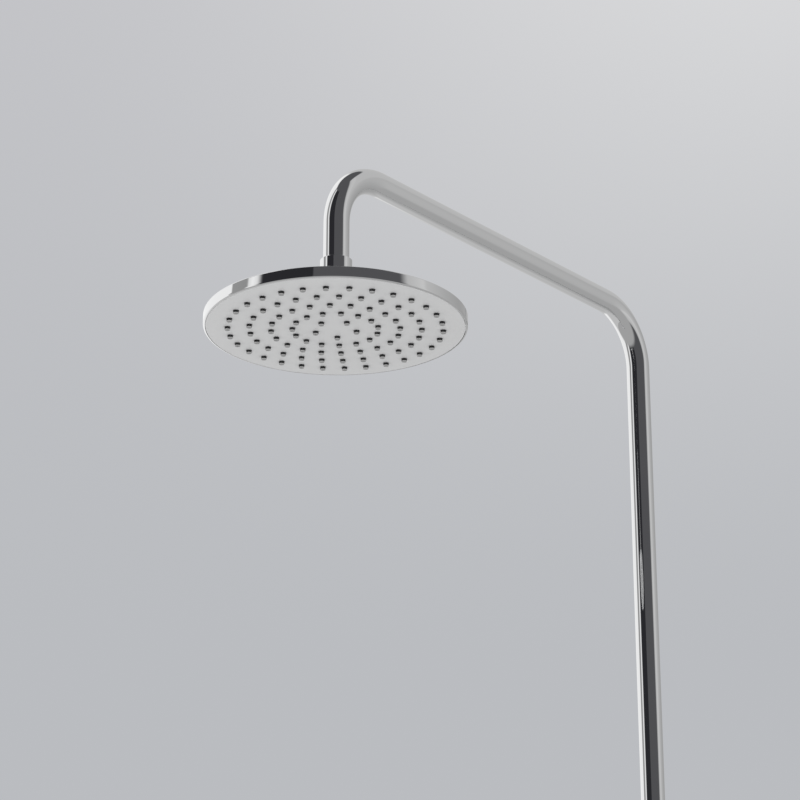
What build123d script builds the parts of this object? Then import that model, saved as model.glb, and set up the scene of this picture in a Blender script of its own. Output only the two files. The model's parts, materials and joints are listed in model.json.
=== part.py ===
"""Wall-mounted shower rail set: a bent riser pipe with an overhead shower on a ball joint,
a slide rail with a tilting hand-shower holder, and a diverter at the foot of the rail.

Millimetres. The wall is the plane Y = 0 and the room is on its -Y side, +Z is up, +X is right
for someone facing the wall. The origin is the centre of the upper wall base's back face.
"""
from build123d import *
from math import cos, radians, sin, sqrt
import os

os.makedirs("parts", exist_ok=True)

# Layout on the wall
STANDOFF = 60.0
ARM_RISE = 480.0
ARM_REACH = 407.0
HEAD_DROP = 137.25
BASE_SPAN = 565.0
SLIDER_DROP = 200.0

# Tube
TUBE_R = 10.0
TUBE_WALL = 1.2
BEND_R = 50.0

# Pipe thread G 1/2, drawn as its plain outer cylinder
THREAD_R = 10.4775
THREAD_L = 12.0

# Fits, all radial or face to face
RUN_FIT = 0.06
SEAT_FIT = 0.10
AIR = 0.30

# Overhead shower
HEAD_R = 100.0
RIM_H = 8.8
RIM_WALL = 1.0
RIM_EDGE = 0.8
SHELL_WALL = 1.6
CROWN_RISE = 3.8
CROWN_R = 24.0
PLATE_T = 2.0
UPSTAND_T = 2.5
MAT_T = 1.0
CHAMBER_H = 1.5
COVER_T = 1.5
COVER_SKIRT = 4.0
NOZZLE_COUNTS = (5, 15, 20, 25, 30)
NOZZLE_PITCH = 16.3
NOZZLE_R = 2.2
NOZZLE_REACH = 2.2
NOZZLE_SIDES = 8
NOZZLE_TAPER = 4.0
FIXING_R = 34.0
FIXING_COUNT = 4
FIXING_START = 45.0

# Ball joint between the pipe and the overhead shower
BALL_R = 9.5
BALL_RISE = 22.0
BALL_BORE_R = 3.0
SEAT_T = 1.2
SEAT_TOP = 4.5
SEAT_FOOT = 5.5
STEM_R = 6.5
BOSS_WALL = 3.2
BOSS_LIP = 2.0
BOSS_FOOT_WALL = 3.0
RETAINER_WALL = 2.4
RETAINER_LIP = 5.5
NUT_R = 12.25
NUT_FOOT = 33.0
NUT_L = 23.0
NUT_FLOOR = 2.5
FLANGE_T = 3.0
WASHER_T = 2.0
PIPE_END = 50.0

# Wall fixing, the same at both ends of the rail
BASE_R = 19.0
BASE_T = 6.0
STUB_R = 6.5
STUB_L = 16.0
SCREW_SPACING = 26.0
SCREW_HOLE_R = 2.6
SCREW_HEAD_R = 4.6
ROSETTE_R = 24.0
ROSETTE_DEPTH = 9.0
ROSETTE_WALL = 1.5
POST_R = 11.0
GRUB_R = 2.5
GRUB_SOCKET_R = 1.25
RING_R = 16.0
RING_H = 32.0
BUSH_T = 1.6

# Slider and hand-shower holder
SLIDER_R = 16.5
SLIDER_H = 52.0
LOCK_BOSS_R = 9.5
LOCK_BOSS_X = 24.0
LOCK_R = 5.0
LOCK_TRAVEL_GAP = 1.0
SHOE_END_X = 16.0
KNOB_R = 13.0
KNOB_L = 15.0
PIVOT_REACH = 38.0
PIVOT_R = 3.0
LUG_R = 9.0
LUG_HALF = 6.5
WASHER_PLATE = 1.0
EAR_T = 4.5
HOLDER_REACH = 30.0
HOLDER_LEAN = 25.0
HOLDER_HALF_H = 16.0
HOLDER_WALL = 3.6
HOLDER_SLOT = 17.0

# Hand shower
CONE_R = 11.5
CONE_SLOPE = 0.024
HANDLE_FOOT = 26.0
HANDLE_L = 150.0
HANDLE_WAIST_R = 10.8
HANDLE_TOP_R = 12.5
HANDLE_END = 8.0
HANDLE_END_R = 9.5
HAND_R = 50.0
HAND_RIM_H = 8.0
HAND_BACK_H = 24.0
HAND_SHOULDER_R = 31.0
HAND_SHOULDER_H = 19.5
HAND_POCKET = 7.5
HAND_WALL = 1.8
HAND_FACE_DIP = 45.0
HAND_COUNTS = (5, 10, 15)
HAND_PITCH = 13.0
HAND_NECK_IN = 6.0
HAND_AXIS_BACK = 13.0
WATER_TUBE_R = 6.5

# Diverter
DIV_R = 16.0
DIV_TOP = 36.0
DIV_FOOT = 34.0
SOCKET_DEPTH = 20.0
FRONT_R = 15.5
FRONT_REACH = 30.0
CAVITY_R = 12.5
CAVITY_BACK = 2.0
WATERWAY_R = 6.0
OUTLET_R = 13.0
OUTLET_REACH = 24.0
HEX_AF = 24.0
HEX_T = 5.0
DISC_R = 9.4
DISC_T = 3.0
SPINDLE_R = 4.0
DIAL_R = 19.5
DIAL_L = 24.0
DIAL_WALL = 3.0
DIAL_OVERLAP = 6.0
GRIP_W = 12.0
GRIP_H = 6.0
CAP_R = 4.5

# Places that follow from the sizes above
RAIL_Y = -STANDOFF
HEAD_Y = RAIL_Y - ARM_REACH
FACE_Z = ARM_RISE - HEAD_DROP
BALL_Z = FACE_Z + BALL_RISE
TUBE_BORE = TUBE_R - TUBE_WALL
SLIDER_Z = -SLIDER_DROP
DIV_Z = -BASE_SPAN
RAIL_FOOT_Z = DIV_Z + DIV_TOP - SOCKET_DEPTH


def up(x, y, z):
    """A sketch plane at a point, facing up."""
    return Plane(origin=(x, y, z))


def to_room(z, y=0.0):
    """A sketch plane that faces away from the wall."""
    return Plane(origin=(0, y, z), x_dir=(1, 0, 0), z_dir=(0, -1, 0))


def to_right(x, y, z):
    """A sketch plane that faces +X."""
    return Plane(origin=(x, y, z), x_dir=(0, 1, 0), z_dir=(1, 0, 0))


def section(y, z, lean=0.0):
    """A plane for turned outlines: local X is the radius, local Y the axis, leaning to the room."""
    turn = radians(lean)
    return Plane(origin=(0, y, z), x_dir=(1, 0, 0), z_dir=(0, -cos(turn), -sin(turn)))


def turned(plane, outline):
    """A piece turned about the plane's local Y axis from its (radius, height) outline."""
    with BuildPart() as piece:
        with BuildSketch(plane):
            with BuildLine():
                Polyline(*outline, close=True)
            make_face()
        revolve(axis=Axis(plane.origin, plane.y_dir))
    return piece


def ring(plane, outer, inner, length):
    """A plain ring or short tube that grows from the plane along its normal."""
    with BuildPart() as piece:
        with BuildSketch(plane):
            Circle(outer)
            Circle(inner, mode=Mode.SUBTRACT)
        extrude(amount=length)
    return piece


def nozzle_places(counts, pitch):
    """Nozzle centres in a face, ring by ring, all rings starting on the same spoke."""
    places = []
    for step, count in enumerate(counts, start=1):
        for index in range(count):
            angle = radians(-90.0 + 360.0 * index / count)
            places.append((step * pitch * cos(angle), step * pitch * sin(angle)))
    return places


# Riser pipe, bent twice: up from the joint in the upper bracket, over the bather, down to the head
with BuildPart() as upper_pipe:
    with BuildLine():
        FilletPolyline(
            (0, RAIL_Y, SEAT_FIT),
            (0, RAIL_Y, ARM_RISE),
            (0, HEAD_Y, ARM_RISE),
            (0, HEAD_Y, FACE_Z + PIPE_END),
            radius=BEND_R,
        )
    with BuildSketch(up(0, RAIL_Y, SEAT_FIT)):
        Circle(TUBE_R)
        Circle(TUBE_BORE, mode=Mode.SUBTRACT)
    sweep()
upper_pipe.part.label = "upper_pipe"
export_step(upper_pipe.part, "parts/upper_pipe.step")

# Slide rail, from the joint in the upper bracket down into the diverter
lower_rail = ring(up(0, RAIL_Y, RAIL_FOOT_Z), TUBE_R, TUBE_BORE, -RAIL_FOOT_Z)
lower_rail.part.label = "lower_rail"
export_step(lower_rail.part, "parts/lower_rail.step")

# Brass spigot that joins the two tubes out of sight, with a seal in a groove at each end
SPIGOT_R = TUBE_BORE - SEAT_FIT
SPIGOT_HALF = 28.0
SPIGOT_WALL = 2.6
SEAL_W = 2.0
SEAL_T = 1.4
SEAL_PLACE = 14.0
with BuildPart() as joint_spigot:
    with BuildSketch(up(0, RAIL_Y, -SPIGOT_HALF)):
        Circle(SPIGOT_R)
        Circle(SPIGOT_R - SPIGOT_WALL, mode=Mode.SUBTRACT)
    extrude(amount=2 * SPIGOT_HALF)
    for side in (-1, 1):
        with BuildSketch(up(0, RAIL_Y, side * SEAL_PLACE - SEAL_W / 2 - SEAT_FIT)):
            Circle(SPIGOT_R)
            Circle(SPIGOT_R - SEAL_T, mode=Mode.SUBTRACT)
        extrude(amount=SEAL_W + 2 * SEAT_FIT, mode=Mode.SUBTRACT)
joint_spigot.part.label = "joint_spigot"
export_step(joint_spigot.part, "parts/joint_spigot.step")

with BuildPart() as joint_seals:
    for side in (-1, 1):
        with BuildSketch(up(0, RAIL_Y, side * SEAL_PLACE - SEAL_W / 2)):
            Circle(TUBE_BORE - SEAT_FIT / 2)
            Circle(SPIGOT_R - SEAL_T + SEAT_FIT / 2, mode=Mode.SUBTRACT)
        extrude(amount=SEAL_W)
joint_seals.part.label = "joint_seals"
export_step(joint_seals.part, "parts/joint_seals.step")

# Wall bases and rosettes, one pair at each end of the rail
for place, base_z in (("upper", 0.0), ("lower", DIV_Z)):
    with BuildPart() as wall_base:
        with BuildSketch(to_room(base_z)):
            Circle(BASE_R)
        extrude(amount=BASE_T)
        with BuildSketch(to_room(base_z, -BASE_T)):
            Circle(STUB_R)
        extrude(amount=STUB_L)
        with Locations(to_room(base_z, -BASE_T)):
            with Locations((0, -SCREW_SPACING / 2), (0, SCREW_SPACING / 2)):
                CounterSinkHole(SCREW_HOLE_R, SCREW_HEAD_R)
    wall_base.part.label = place + "_wall_base"
    export_step(wall_base.part, "parts/" + place + "_wall_base.step")

    with BuildPart() as rosette:
        with BuildSketch(to_room(base_z)):
            Circle(ROSETTE_R)
        extrude(amount=ROSETTE_DEPTH)
        chamfer(rosette.faces().sort_by(Axis.Y)[0].edges(), ROSETTE_WALL / 2)
        with BuildSketch(to_room(base_z)):
            Circle(ROSETTE_R - ROSETTE_WALL)
        extrude(amount=ROSETTE_DEPTH - ROSETTE_WALL, mode=Mode.SUBTRACT)
        with BuildSketch(to_room(base_z)):
            Circle(POST_R + AIR)
        extrude(amount=ROSETTE_DEPTH, mode=Mode.SUBTRACT)
    rosette.part.label = place + "_rosette"
    export_step(rosette.part, "parts/" + place + "_rosette.step")

    # Grub screw that locks the post on the base's stub from below, with its hex socket
    grub_y = -BASE_T - STUB_L / 2
    with BuildPart() as grub_screw:
        with BuildSketch(up(0, grub_y, base_z - POST_R + SEAT_FIT)):
            Circle(GRUB_R - SEAT_FIT)
        extrude(amount=POST_R - STUB_R - 2 * SEAT_FIT)
        with BuildSketch(up(0, grub_y, base_z - POST_R + SEAT_FIT)):
            RegularPolygon(GRUB_SOCKET_R, 6)
        extrude(amount=(POST_R - STUB_R) / 2, mode=Mode.SUBTRACT)
    grub_screw.part.label = place + "_grub_screw"
    export_step(grub_screw.part, "parts/" + place + "_grub_screw.step")

# Upper bracket: a post off the wall that ends in a ring round the pipe joint
with BuildPart() as bracket_post:
    with BuildSketch(to_room(0.0, -BASE_T - AIR)):
        Circle(POST_R)
    extrude(amount=STANDOFF - BASE_T - AIR)
    with BuildSketch(up(0, RAIL_Y, -RING_H / 2)):
        Circle(RING_R)
    extrude(amount=RING_H)
    with BuildSketch(to_room(0.0, -BASE_T - AIR)):
        Circle(STUB_R + SEAT_FIT)
    extrude(amount=STUB_L, mode=Mode.SUBTRACT)
    with BuildSketch(up(0, RAIL_Y, -RING_H / 2)):
        Circle(TUBE_R + BUSH_T + 2 * SEAT_FIT)
    extrude(amount=RING_H, mode=Mode.SUBTRACT)
    with BuildSketch(up(0, -BASE_T - STUB_L / 2, -POST_R)):
        Circle(GRUB_R)
    extrude(amount=POST_R - STUB_R, mode=Mode.SUBTRACT)
bracket_post.part.label = "bracket_post"
export_step(bracket_post.part, "parts/bracket_post.step")

bracket_bush = ring(
    up(0, RAIL_Y, -RING_H / 2 + AIR), TUBE_R + BUSH_T + SEAT_FIT, TUBE_R + SEAT_FIT, RING_H - 2 * AIR
)
bracket_bush.part.label = "bracket_bush"
export_step(bracket_bush.part, "parts/bracket_bush.step")

# Threaded nipple brazed into the open end of the pipe
NIPPLE_PLUG = 14.0
NIPPLE_FOOT = NUT_FOOT + NUT_FLOOR + FLANGE_T + WASHER_T
arm_nipple = turned(
    section(HEAD_Y, FACE_Z),
    [
        (WATERWAY_R, NIPPLE_FOOT),
        (THREAD_R, NIPPLE_FOOT),
        (THREAD_R, PIPE_END),
        (TUBE_BORE - SEAT_FIT, PIPE_END),
        (TUBE_BORE - SEAT_FIT, PIPE_END + NIPPLE_PLUG),
        (WATERWAY_R, PIPE_END + NIPPLE_PLUG),
    ],
)
arm_nipple.part.label = "arm_nipple"
export_step(arm_nipple.part, "parts/arm_nipple.step")

# Round swivel nut, the collar seen above the overhead shower
NUT_EDGE = 1.1
NUT_BORE = THREAD_R + SEAT_FIT
swivel_nut = turned(
    section(HEAD_Y, FACE_Z),
    [
        (STEM_R + AIR, NUT_FOOT),
        (NUT_R - NUT_EDGE, NUT_FOOT),
        (NUT_R, NUT_FOOT + NUT_EDGE),
        (NUT_R, NUT_FOOT + NUT_L - NUT_EDGE),
        (NUT_R - NUT_EDGE, NUT_FOOT + NUT_L),
        (NUT_BORE, NUT_FOOT + NUT_L),
        (NUT_BORE, NUT_FOOT + NUT_FLOOR),
        (STEM_R + AIR, NUT_FOOT + NUT_FLOOR),
    ],
)
swivel_nut.part.label = "swivel_nut"
export_step(swivel_nut.part, "parts/swivel_nut.step")

# Ball stem: a flange held by the nut, a hollow stem and the ball
FLANGE_R = NUT_BORE - 3 * AIR
REGULATOR_R = 5.0
REGULATOR_BORE_R = 1.5
REGULATOR_H = 3.0
FLANGE_TOP = NUT_FOOT + NUT_FLOOR + FLANGE_T
with BuildPart() as ball_stem:
    with Locations((0, HEAD_Y, BALL_Z)):
        Sphere(BALL_R)
    with BuildSketch(up(0, HEAD_Y, BALL_Z)):
        Circle(STEM_R)
    extrude(amount=FLANGE_TOP - BALL_RISE)
    with BuildSketch(up(0, HEAD_Y, FACE_Z + NUT_FOOT + NUT_FLOOR)):
        Circle(FLANGE_R)
    extrude(amount=FLANGE_T)
    with BuildSketch(up(0, HEAD_Y, BALL_Z - BALL_R)):
        Circle(BALL_BORE_R)
    extrude(amount=BALL_R + FLANGE_TOP - BALL_RISE, mode=Mode.SUBTRACT)
    with BuildSketch(up(0, HEAD_Y, FACE_Z + FLANGE_TOP - REGULATOR_H)):
        Circle(REGULATOR_R + SEAT_FIT)
    extrude(amount=REGULATOR_H, mode=Mode.SUBTRACT)
ball_stem.part.label = "ball_stem"
export_step(ball_stem.part, "parts/ball_stem.step")

flow_regulator = ring(
    up(0, HEAD_Y, FACE_Z + FLANGE_TOP - REGULATOR_H), REGULATOR_R, REGULATOR_BORE_R, REGULATOR_H
)
flow_regulator.part.label = "flow_regulator"
export_step(flow_regulator.part, "parts/flow_regulator.step")

seal_washer = ring(up(0, HEAD_Y, FACE_Z + FLANGE_TOP), FLANGE_R, REGULATOR_R + AIR, WASHER_T)
seal_washer.part.label = "seal_washer"
export_step(seal_washer.part, "parts/seal_washer.step")

# Filter disc, a coarse sieve that sits in the washer
FILTER_T = 0.6
SIEVE_HOLE_R = 0.7
SIEVE_PITCH = 2.4
SIEVE_ROWS = 3
with BuildPart() as filter_screen:
    with BuildSketch(up(0, HEAD_Y, FACE_Z + FLANGE_TOP)):
        Circle(REGULATOR_R + AIR - SEAT_FIT)
        with HexLocations(SIEVE_PITCH / sqrt(3), SIEVE_ROWS, SIEVE_ROWS):
            RegularPolygon(SIEVE_HOLE_R, 6, mode=Mode.SUBTRACT)
    extrude(amount=FILTER_T)
filter_screen.part.label = "filter_screen"
export_step(filter_screen.part, "parts/filter_screen.step")

# Ball seat: a spherical liner that turns about the ball and lets the head tilt over it
SEAT_IN = BALL_R + AIR
SEAT_OUT = SEAT_IN + SEAT_T
SOCKET_R = SEAT_OUT + AIR
with BuildPart() as ball_seat:
    with Locations((0, HEAD_Y, BALL_Z)):
        Sphere(SEAT_OUT)
        Sphere(SEAT_IN, mode=Mode.SUBTRACT)
    with BuildSketch(up(0, HEAD_Y, BALL_Z - SEAT_FOOT)):
        Circle(2 * SEAT_OUT)
    extrude(amount=SEAT_FOOT + SEAT_TOP, mode=Mode.INTERSECT)
ball_seat.part.label = "ball_seat"
export_step(ball_seat.part, "parts/ball_seat.step")

# Overhead shower shell: rim, crowned top, and the boss with the ball socket
BOSS_R = SOCKET_R + BOSS_WALL
BOSS_TOP = BALL_RISE + BOSS_LIP
CROWN_H = RIM_H + CROWN_RISE
FLOOR_T = 2.0
SEAL_R = 7.0
SEAL_POCKET_R = SEAL_R + AIR
SEAL_H = 1.9
BALL_SEAL_TOP = BALL_RISE - sqrt((BALL_R + AIR) ** 2 - (SEAL_R - SEAL_T) ** 2)
SOCKET_FLOOR = BALL_SEAL_TOP - SEAL_H
FEED_R = SEAL_R - SEAL_T - SEAT_FIT
SPIGOT_SOCKET_R = 8.0
BOSS_FOOT = PLATE_T + MAT_T + CHAMBER_H + COVER_T + AIR
BOSS_FOOT_R = SPIGOT_SOCKET_R + BOSS_FOOT_WALL
POST_BOSS_R = 3.4
FIXING_SCREW_R = 1.4
COVER_TOP = BOSS_FOOT - AIR
with BuildPart() as head_shell:
    with BuildSketch(section(HEAD_Y, FACE_Z)):
        with BuildLine():
            Polyline(
                (HEAD_R - RIM_WALL, 0.0),
                (HEAD_R - RIM_EDGE, 0.0),
                (HEAD_R, RIM_EDGE),
                (HEAD_R, RIM_H - RIM_EDGE),
                (HEAD_R - RIM_EDGE, RIM_H),
                (CROWN_R, CROWN_H),
                (BOSS_R, CROWN_H),
                (BOSS_R, BOSS_TOP),
                (SOCKET_R, BOSS_TOP),
                (SOCKET_R, BALL_RISE),
                (SEAL_POCKET_R, BALL_RISE),
                (SEAL_POCKET_R, SOCKET_FLOOR),
                (FEED_R, SOCKET_FLOOR),
                (FEED_R, SOCKET_FLOOR - FLOOR_T),
                (SPIGOT_SOCKET_R, SOCKET_FLOOR - FLOOR_T),
                (SPIGOT_SOCKET_R, BOSS_FOOT),
                (BOSS_FOOT_R, BOSS_FOOT),
                (BOSS_FOOT_R, CROWN_H - SHELL_WALL),
                (CROWN_R, CROWN_H - SHELL_WALL),
                (HEAD_R - RIM_WALL, RIM_H - SHELL_WALL),
                close=True,
            )
        make_face()
    revolve(axis=Axis((0, HEAD_Y, FACE_Z), (0, 0, 1)))
    with Locations((0, HEAD_Y, BALL_Z)):
        Sphere(SOCKET_R, mode=Mode.SUBTRACT)
    with BuildSketch(up(0, HEAD_Y, FACE_Z + COVER_TOP)):
        with PolarLocations(FIXING_R, FIXING_COUNT, start_angle=FIXING_START):
            Circle(POST_BOSS_R)
    extrude(amount=CROWN_H - SHELL_WALL - COVER_TOP)
    with BuildSketch(up(0, HEAD_Y, FACE_Z + COVER_TOP)):
        with PolarLocations(FIXING_R, FIXING_COUNT, start_angle=FIXING_START):
            Circle(FIXING_SCREW_R + SEAT_FIT)
    extrude(amount=RIM_H - COVER_TOP, mode=Mode.SUBTRACT)
head_shell.part.label = "head_shell"
export_step(head_shell.part, "parts/head_shell.step")

# Cap nut that closes the socket over the ball
RETAINER_R = BOSS_R + RETAINER_WALL
RETAINER_EDGE = 1.0
RETAINER_TOP = BALL_RISE + RETAINER_LIP
with BuildPart() as ball_retainer:
    with BuildSketch(section(HEAD_Y, FACE_Z)):
        with BuildLine():
            Polyline(
                (BOSS_R + SEAT_FIT, CROWN_H + AIR),
                (RETAINER_R, CROWN_H + AIR),
                (RETAINER_R, RETAINER_TOP - RETAINER_EDGE),
                (RETAINER_R - RETAINER_EDGE, RETAINER_TOP),
                (BALL_R, RETAINER_TOP),
                (BALL_R, BOSS_TOP + SEAT_FIT),
                (BOSS_R + SEAT_FIT, BOSS_TOP + SEAT_FIT),
                close=True,
            )
        make_face()
    revolve(axis=Axis((0, HEAD_Y, FACE_Z), (0, 0, 1)))
    with Locations((0, HEAD_Y, BALL_Z)):
        Sphere(SOCKET_R, mode=Mode.SUBTRACT)
ball_retainer.part.label = "ball_retainer"
export_step(ball_retainer.part, "parts/ball_retainer.step")

# Seal ring under the ball, pressed into the pocket of the shell's boss
ball_seal = ring(up(0, HEAD_Y, FACE_Z + SOCKET_FLOOR), SEAL_R, SEAL_R - SEAL_T, SEAL_H)
ball_seal.part.label = "ball_seal"
export_step(ball_seal.part, "parts/ball_seal.step")

# Face plate: a disc with a hole for each nozzle and an upstand that seats it in the shell
PLATE_R = HEAD_R - RIM_WALL - AIR
UPSTAND_IN = PLATE_R - UPSTAND_T
NOZZLES = nozzle_places(NOZZLE_COUNTS, NOZZLE_PITCH)
with BuildPart() as face_plate:
    with BuildSketch(up(0, HEAD_Y, FACE_Z)):
        Circle(PLATE_R)
        with Locations(*NOZZLES):
            RegularPolygon(NOZZLE_R + SEAT_FIT, NOZZLE_SIDES, mode=Mode.SUBTRACT)
    extrude(amount=PLATE_T)
    with BuildSketch(up(0, HEAD_Y, FACE_Z + PLATE_T)):
        Circle(PLATE_R)
        Circle(UPSTAND_IN, mode=Mode.SUBTRACT)
    extrude(amount=RIM_H - SHELL_WALL - PLATE_T - AIR)
face_plate.part.label = "face_plate"
export_step(face_plate.part, "parts/face_plate.step")

# Silicone mat: one sheet with the rubbing nozzles that reach through the face plate
with BuildPart() as nozzle_mat:
    with BuildSketch(up(0, HEAD_Y, FACE_Z + PLATE_T)):
        Circle(UPSTAND_IN - AIR)
    extrude(amount=MAT_T)
    with BuildSketch(up(0, HEAD_Y, FACE_Z + PLATE_T)):
        with Locations(*NOZZLES):
            RegularPolygon(NOZZLE_R, NOZZLE_SIDES)
    extrude(amount=-PLATE_T - NOZZLE_REACH, taper=NOZZLE_TAPER)
nozzle_mat.part.label = "nozzle_mat"
export_step(nozzle_mat.part, "parts/nozzle_mat.step")

# Water cover: closes the chamber over the mat and takes the feed from the boss
COVER_R = UPSTAND_IN - AIR
COVER_FOOT = PLATE_T + MAT_T
GASKET_T = 0.7
COVER_SPIGOT_R = SPIGOT_SOCKET_R - AIR
with BuildPart() as water_cover:
    with BuildSketch(up(0, HEAD_Y, FACE_Z + COVER_FOOT)):
        Circle(COVER_R)
    extrude(amount=CHAMBER_H + COVER_T)
    with BuildSketch(up(0, HEAD_Y, FACE_Z + COVER_FOOT)):
        Circle(COVER_R - COVER_SKIRT)
    extrude(amount=CHAMBER_H, mode=Mode.SUBTRACT)
    with BuildSketch(up(0, HEAD_Y, FACE_Z + COVER_TOP)):
        Circle(COVER_SPIGOT_R)
    extrude(amount=SOCKET_FLOOR - FLOOR_T - GASKET_T - COVER_TOP)
    with BuildSketch(up(0, HEAD_Y, FACE_Z + COVER_FOOT)):
        Circle(FEED_R)
        with PolarLocations(FIXING_R, FIXING_COUNT, start_angle=FIXING_START):
            Circle(FIXING_SCREW_R + SEAT_FIT)
    extrude(amount=SOCKET_FLOOR, mode=Mode.SUBTRACT)
water_cover.part.label = "water_cover"
export_step(water_cover.part, "parts/water_cover.step")

feed_gasket = ring(
    up(0, HEAD_Y, FACE_Z + SOCKET_FLOOR - FLOOR_T - GASKET_T), COVER_SPIGOT_R, FEED_R, GASKET_T
)
feed_gasket.part.label = "feed_gasket"
export_step(feed_gasket.part, "parts/feed_gasket.step")

# Screws that draw the water cover up against the shell's screw posts
FIXING_HEAD_R = 2.6
FIXING_HEAD_H = 1.1
with BuildPart() as cover_screws:
    with BuildSketch(up(0, HEAD_Y, FACE_Z + COVER_TOP - COVER_T)):
        with PolarLocations(FIXING_R, FIXING_COUNT, start_angle=FIXING_START):
            Circle(FIXING_SCREW_R)
    extrude(amount=RIM_H - AIR - COVER_TOP + COVER_T)
    with BuildSketch(up(0, HEAD_Y, FACE_Z + COVER_TOP - COVER_T)):
        with PolarLocations(FIXING_R, FIXING_COUNT, start_angle=FIXING_START):
            Circle(FIXING_HEAD_R)
    extrude(amount=-FIXING_HEAD_H)
cover_screws.part.label = "cover_screws"
export_step(cover_screws.part, "parts/cover_screws.step")

# Slider body: sleeve round the rail, boss for the lock knob, and lug for the holder's pivot
PIVOT_Y = RAIL_Y - PIVOT_REACH
SLEEVE_BORE = TUBE_R + BUSH_T + 2 * SEAT_FIT
with BuildPart() as slider_body:
    with BuildSketch(up(0, RAIL_Y, SLIDER_Z - SLIDER_H / 2)):
        Circle(SLIDER_R)
    extrude(amount=SLIDER_H)
    chamfer(slider_body.faces().filter_by(Axis.Z).edges(), RIM_EDGE)
    with BuildSketch(to_right(0, RAIL_Y, SLIDER_Z)):
        Circle(LOCK_BOSS_R)
    extrude(amount=LOCK_BOSS_X)
    with BuildSketch(to_right(-LUG_HALF, PIVOT_Y, SLIDER_Z)):
        Circle(LUG_R)
        with Locations((PIVOT_REACH / 2, 0)):
            Rectangle(PIVOT_REACH, 2 * LUG_R)
    extrude(amount=2 * LUG_HALF)
    with BuildSketch(up(0, RAIL_Y, SLIDER_Z - SLIDER_H / 2)):
        Circle(SLEEVE_BORE)
    extrude(amount=SLIDER_H, mode=Mode.SUBTRACT)
    with BuildSketch(to_right(0, RAIL_Y, SLIDER_Z)):
        Circle(LOCK_R + RUN_FIT)
    extrude(amount=LOCK_BOSS_X, mode=Mode.SUBTRACT)
    with BuildSketch(to_right(-LUG_HALF, PIVOT_Y, SLIDER_Z)):
        Circle(PIVOT_R + RUN_FIT)
    extrude(amount=2 * LUG_HALF, mode=Mode.SUBTRACT)
slider_body.part.label = "slider_body"
export_step(slider_body.part, "parts/slider_body.step")

# Plastic bush that runs on the rail, with a window for the brake shoe
with BuildPart() as slider_bush:
    with BuildSketch(up(0, RAIL_Y, SLIDER_Z - SLIDER_H / 2 + AIR)):
        Circle(SLEEVE_BORE - SEAT_FIT)
        Circle(TUBE_R + RUN_FIT, mode=Mode.SUBTRACT)
    extrude(amount=SLIDER_H - 2 * AIR)
    with BuildSketch(to_right(0, RAIL_Y, SLIDER_Z)):
        Circle(LOCK_R + RUN_FIT)
    extrude(amount=SLEEVE_BORE, mode=Mode.SUBTRACT)
slider_bush.part.label = "slider_bush"
export_step(slider_bush.part, "parts/slider_bush.step")

# Brake shoe, hollowed to the rail, that the lock knob presses home
with BuildPart() as brake_shoe:
    with BuildSketch(to_right(0, RAIL_Y, SLIDER_Z)):
        Circle(LOCK_R - AIR)
    extrude(amount=SHOE_END_X)
    with BuildSketch(up(0, RAIL_Y, SLIDER_Z - LOCK_R)):
        Circle(TUBE_R + AIR)
    extrude(amount=2 * LOCK_R, mode=Mode.SUBTRACT)
brake_shoe.part.label = "brake_shoe"
export_step(brake_shoe.part, "parts/brake_shoe.step")

# Lock knob with finger flutes, and the threaded spindle pressed into it
KNOB_START = LOCK_BOSS_X + AIR
KNOB_FLUTES = 10
FLUTE_R = 2.2
SPINDLE_IN_KNOB = 9.0
with BuildPart() as lock_knob:
    with BuildSketch(to_right(KNOB_START, RAIL_Y, SLIDER_Z)):
        Circle(KNOB_R)
        with PolarLocations(KNOB_R + FLUTE_R / 2, KNOB_FLUTES):
            Circle(FLUTE_R, mode=Mode.SUBTRACT)
    extrude(amount=KNOB_L)
    with BuildSketch(to_right(KNOB_START, RAIL_Y, SLIDER_Z)):
        Circle(LOCK_R + SEAT_FIT)
    extrude(amount=SPINDLE_IN_KNOB, mode=Mode.SUBTRACT)
lock_knob.part.label = "lock_knob"
export_step(lock_knob.part, "parts/lock_knob.step")

with BuildPart() as lock_spindle:
    with BuildSketch(to_right(SHOE_END_X + LOCK_TRAVEL_GAP, RAIL_Y, SLIDER_Z)):
        Circle(LOCK_R)
    extrude(amount=KNOB_START + SPINDLE_IN_KNOB - SHOE_END_X - LOCK_TRAVEL_GAP)
lock_spindle.part.label = "lock_spindle"
export_step(lock_spindle.part, "parts/lock_spindle.step")

# Hand-shower holder: a leaning conical socket, slotted at the front, on two ears
HOLDER_Y = PIVOT_Y - HOLDER_REACH
EAR_IN = LUG_HALF + WASHER_PLATE + 2 * SEAT_FIT
holder_axis = section(HOLDER_Y, SLIDER_Z, HOLDER_LEAN)
LEAN_PLANE = Plane(
    origin=(0, HOLDER_Y, SLIDER_Z),
    x_dir=(1, 0, 0),
    z_dir=(0, -sin(radians(HOLDER_LEAN)), cos(radians(HOLDER_LEAN))),
)


def cone_r(height):
    """Radius of the hand shower's seating cone at a height along its handle."""
    return CONE_R + CONE_SLOPE * height


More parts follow.
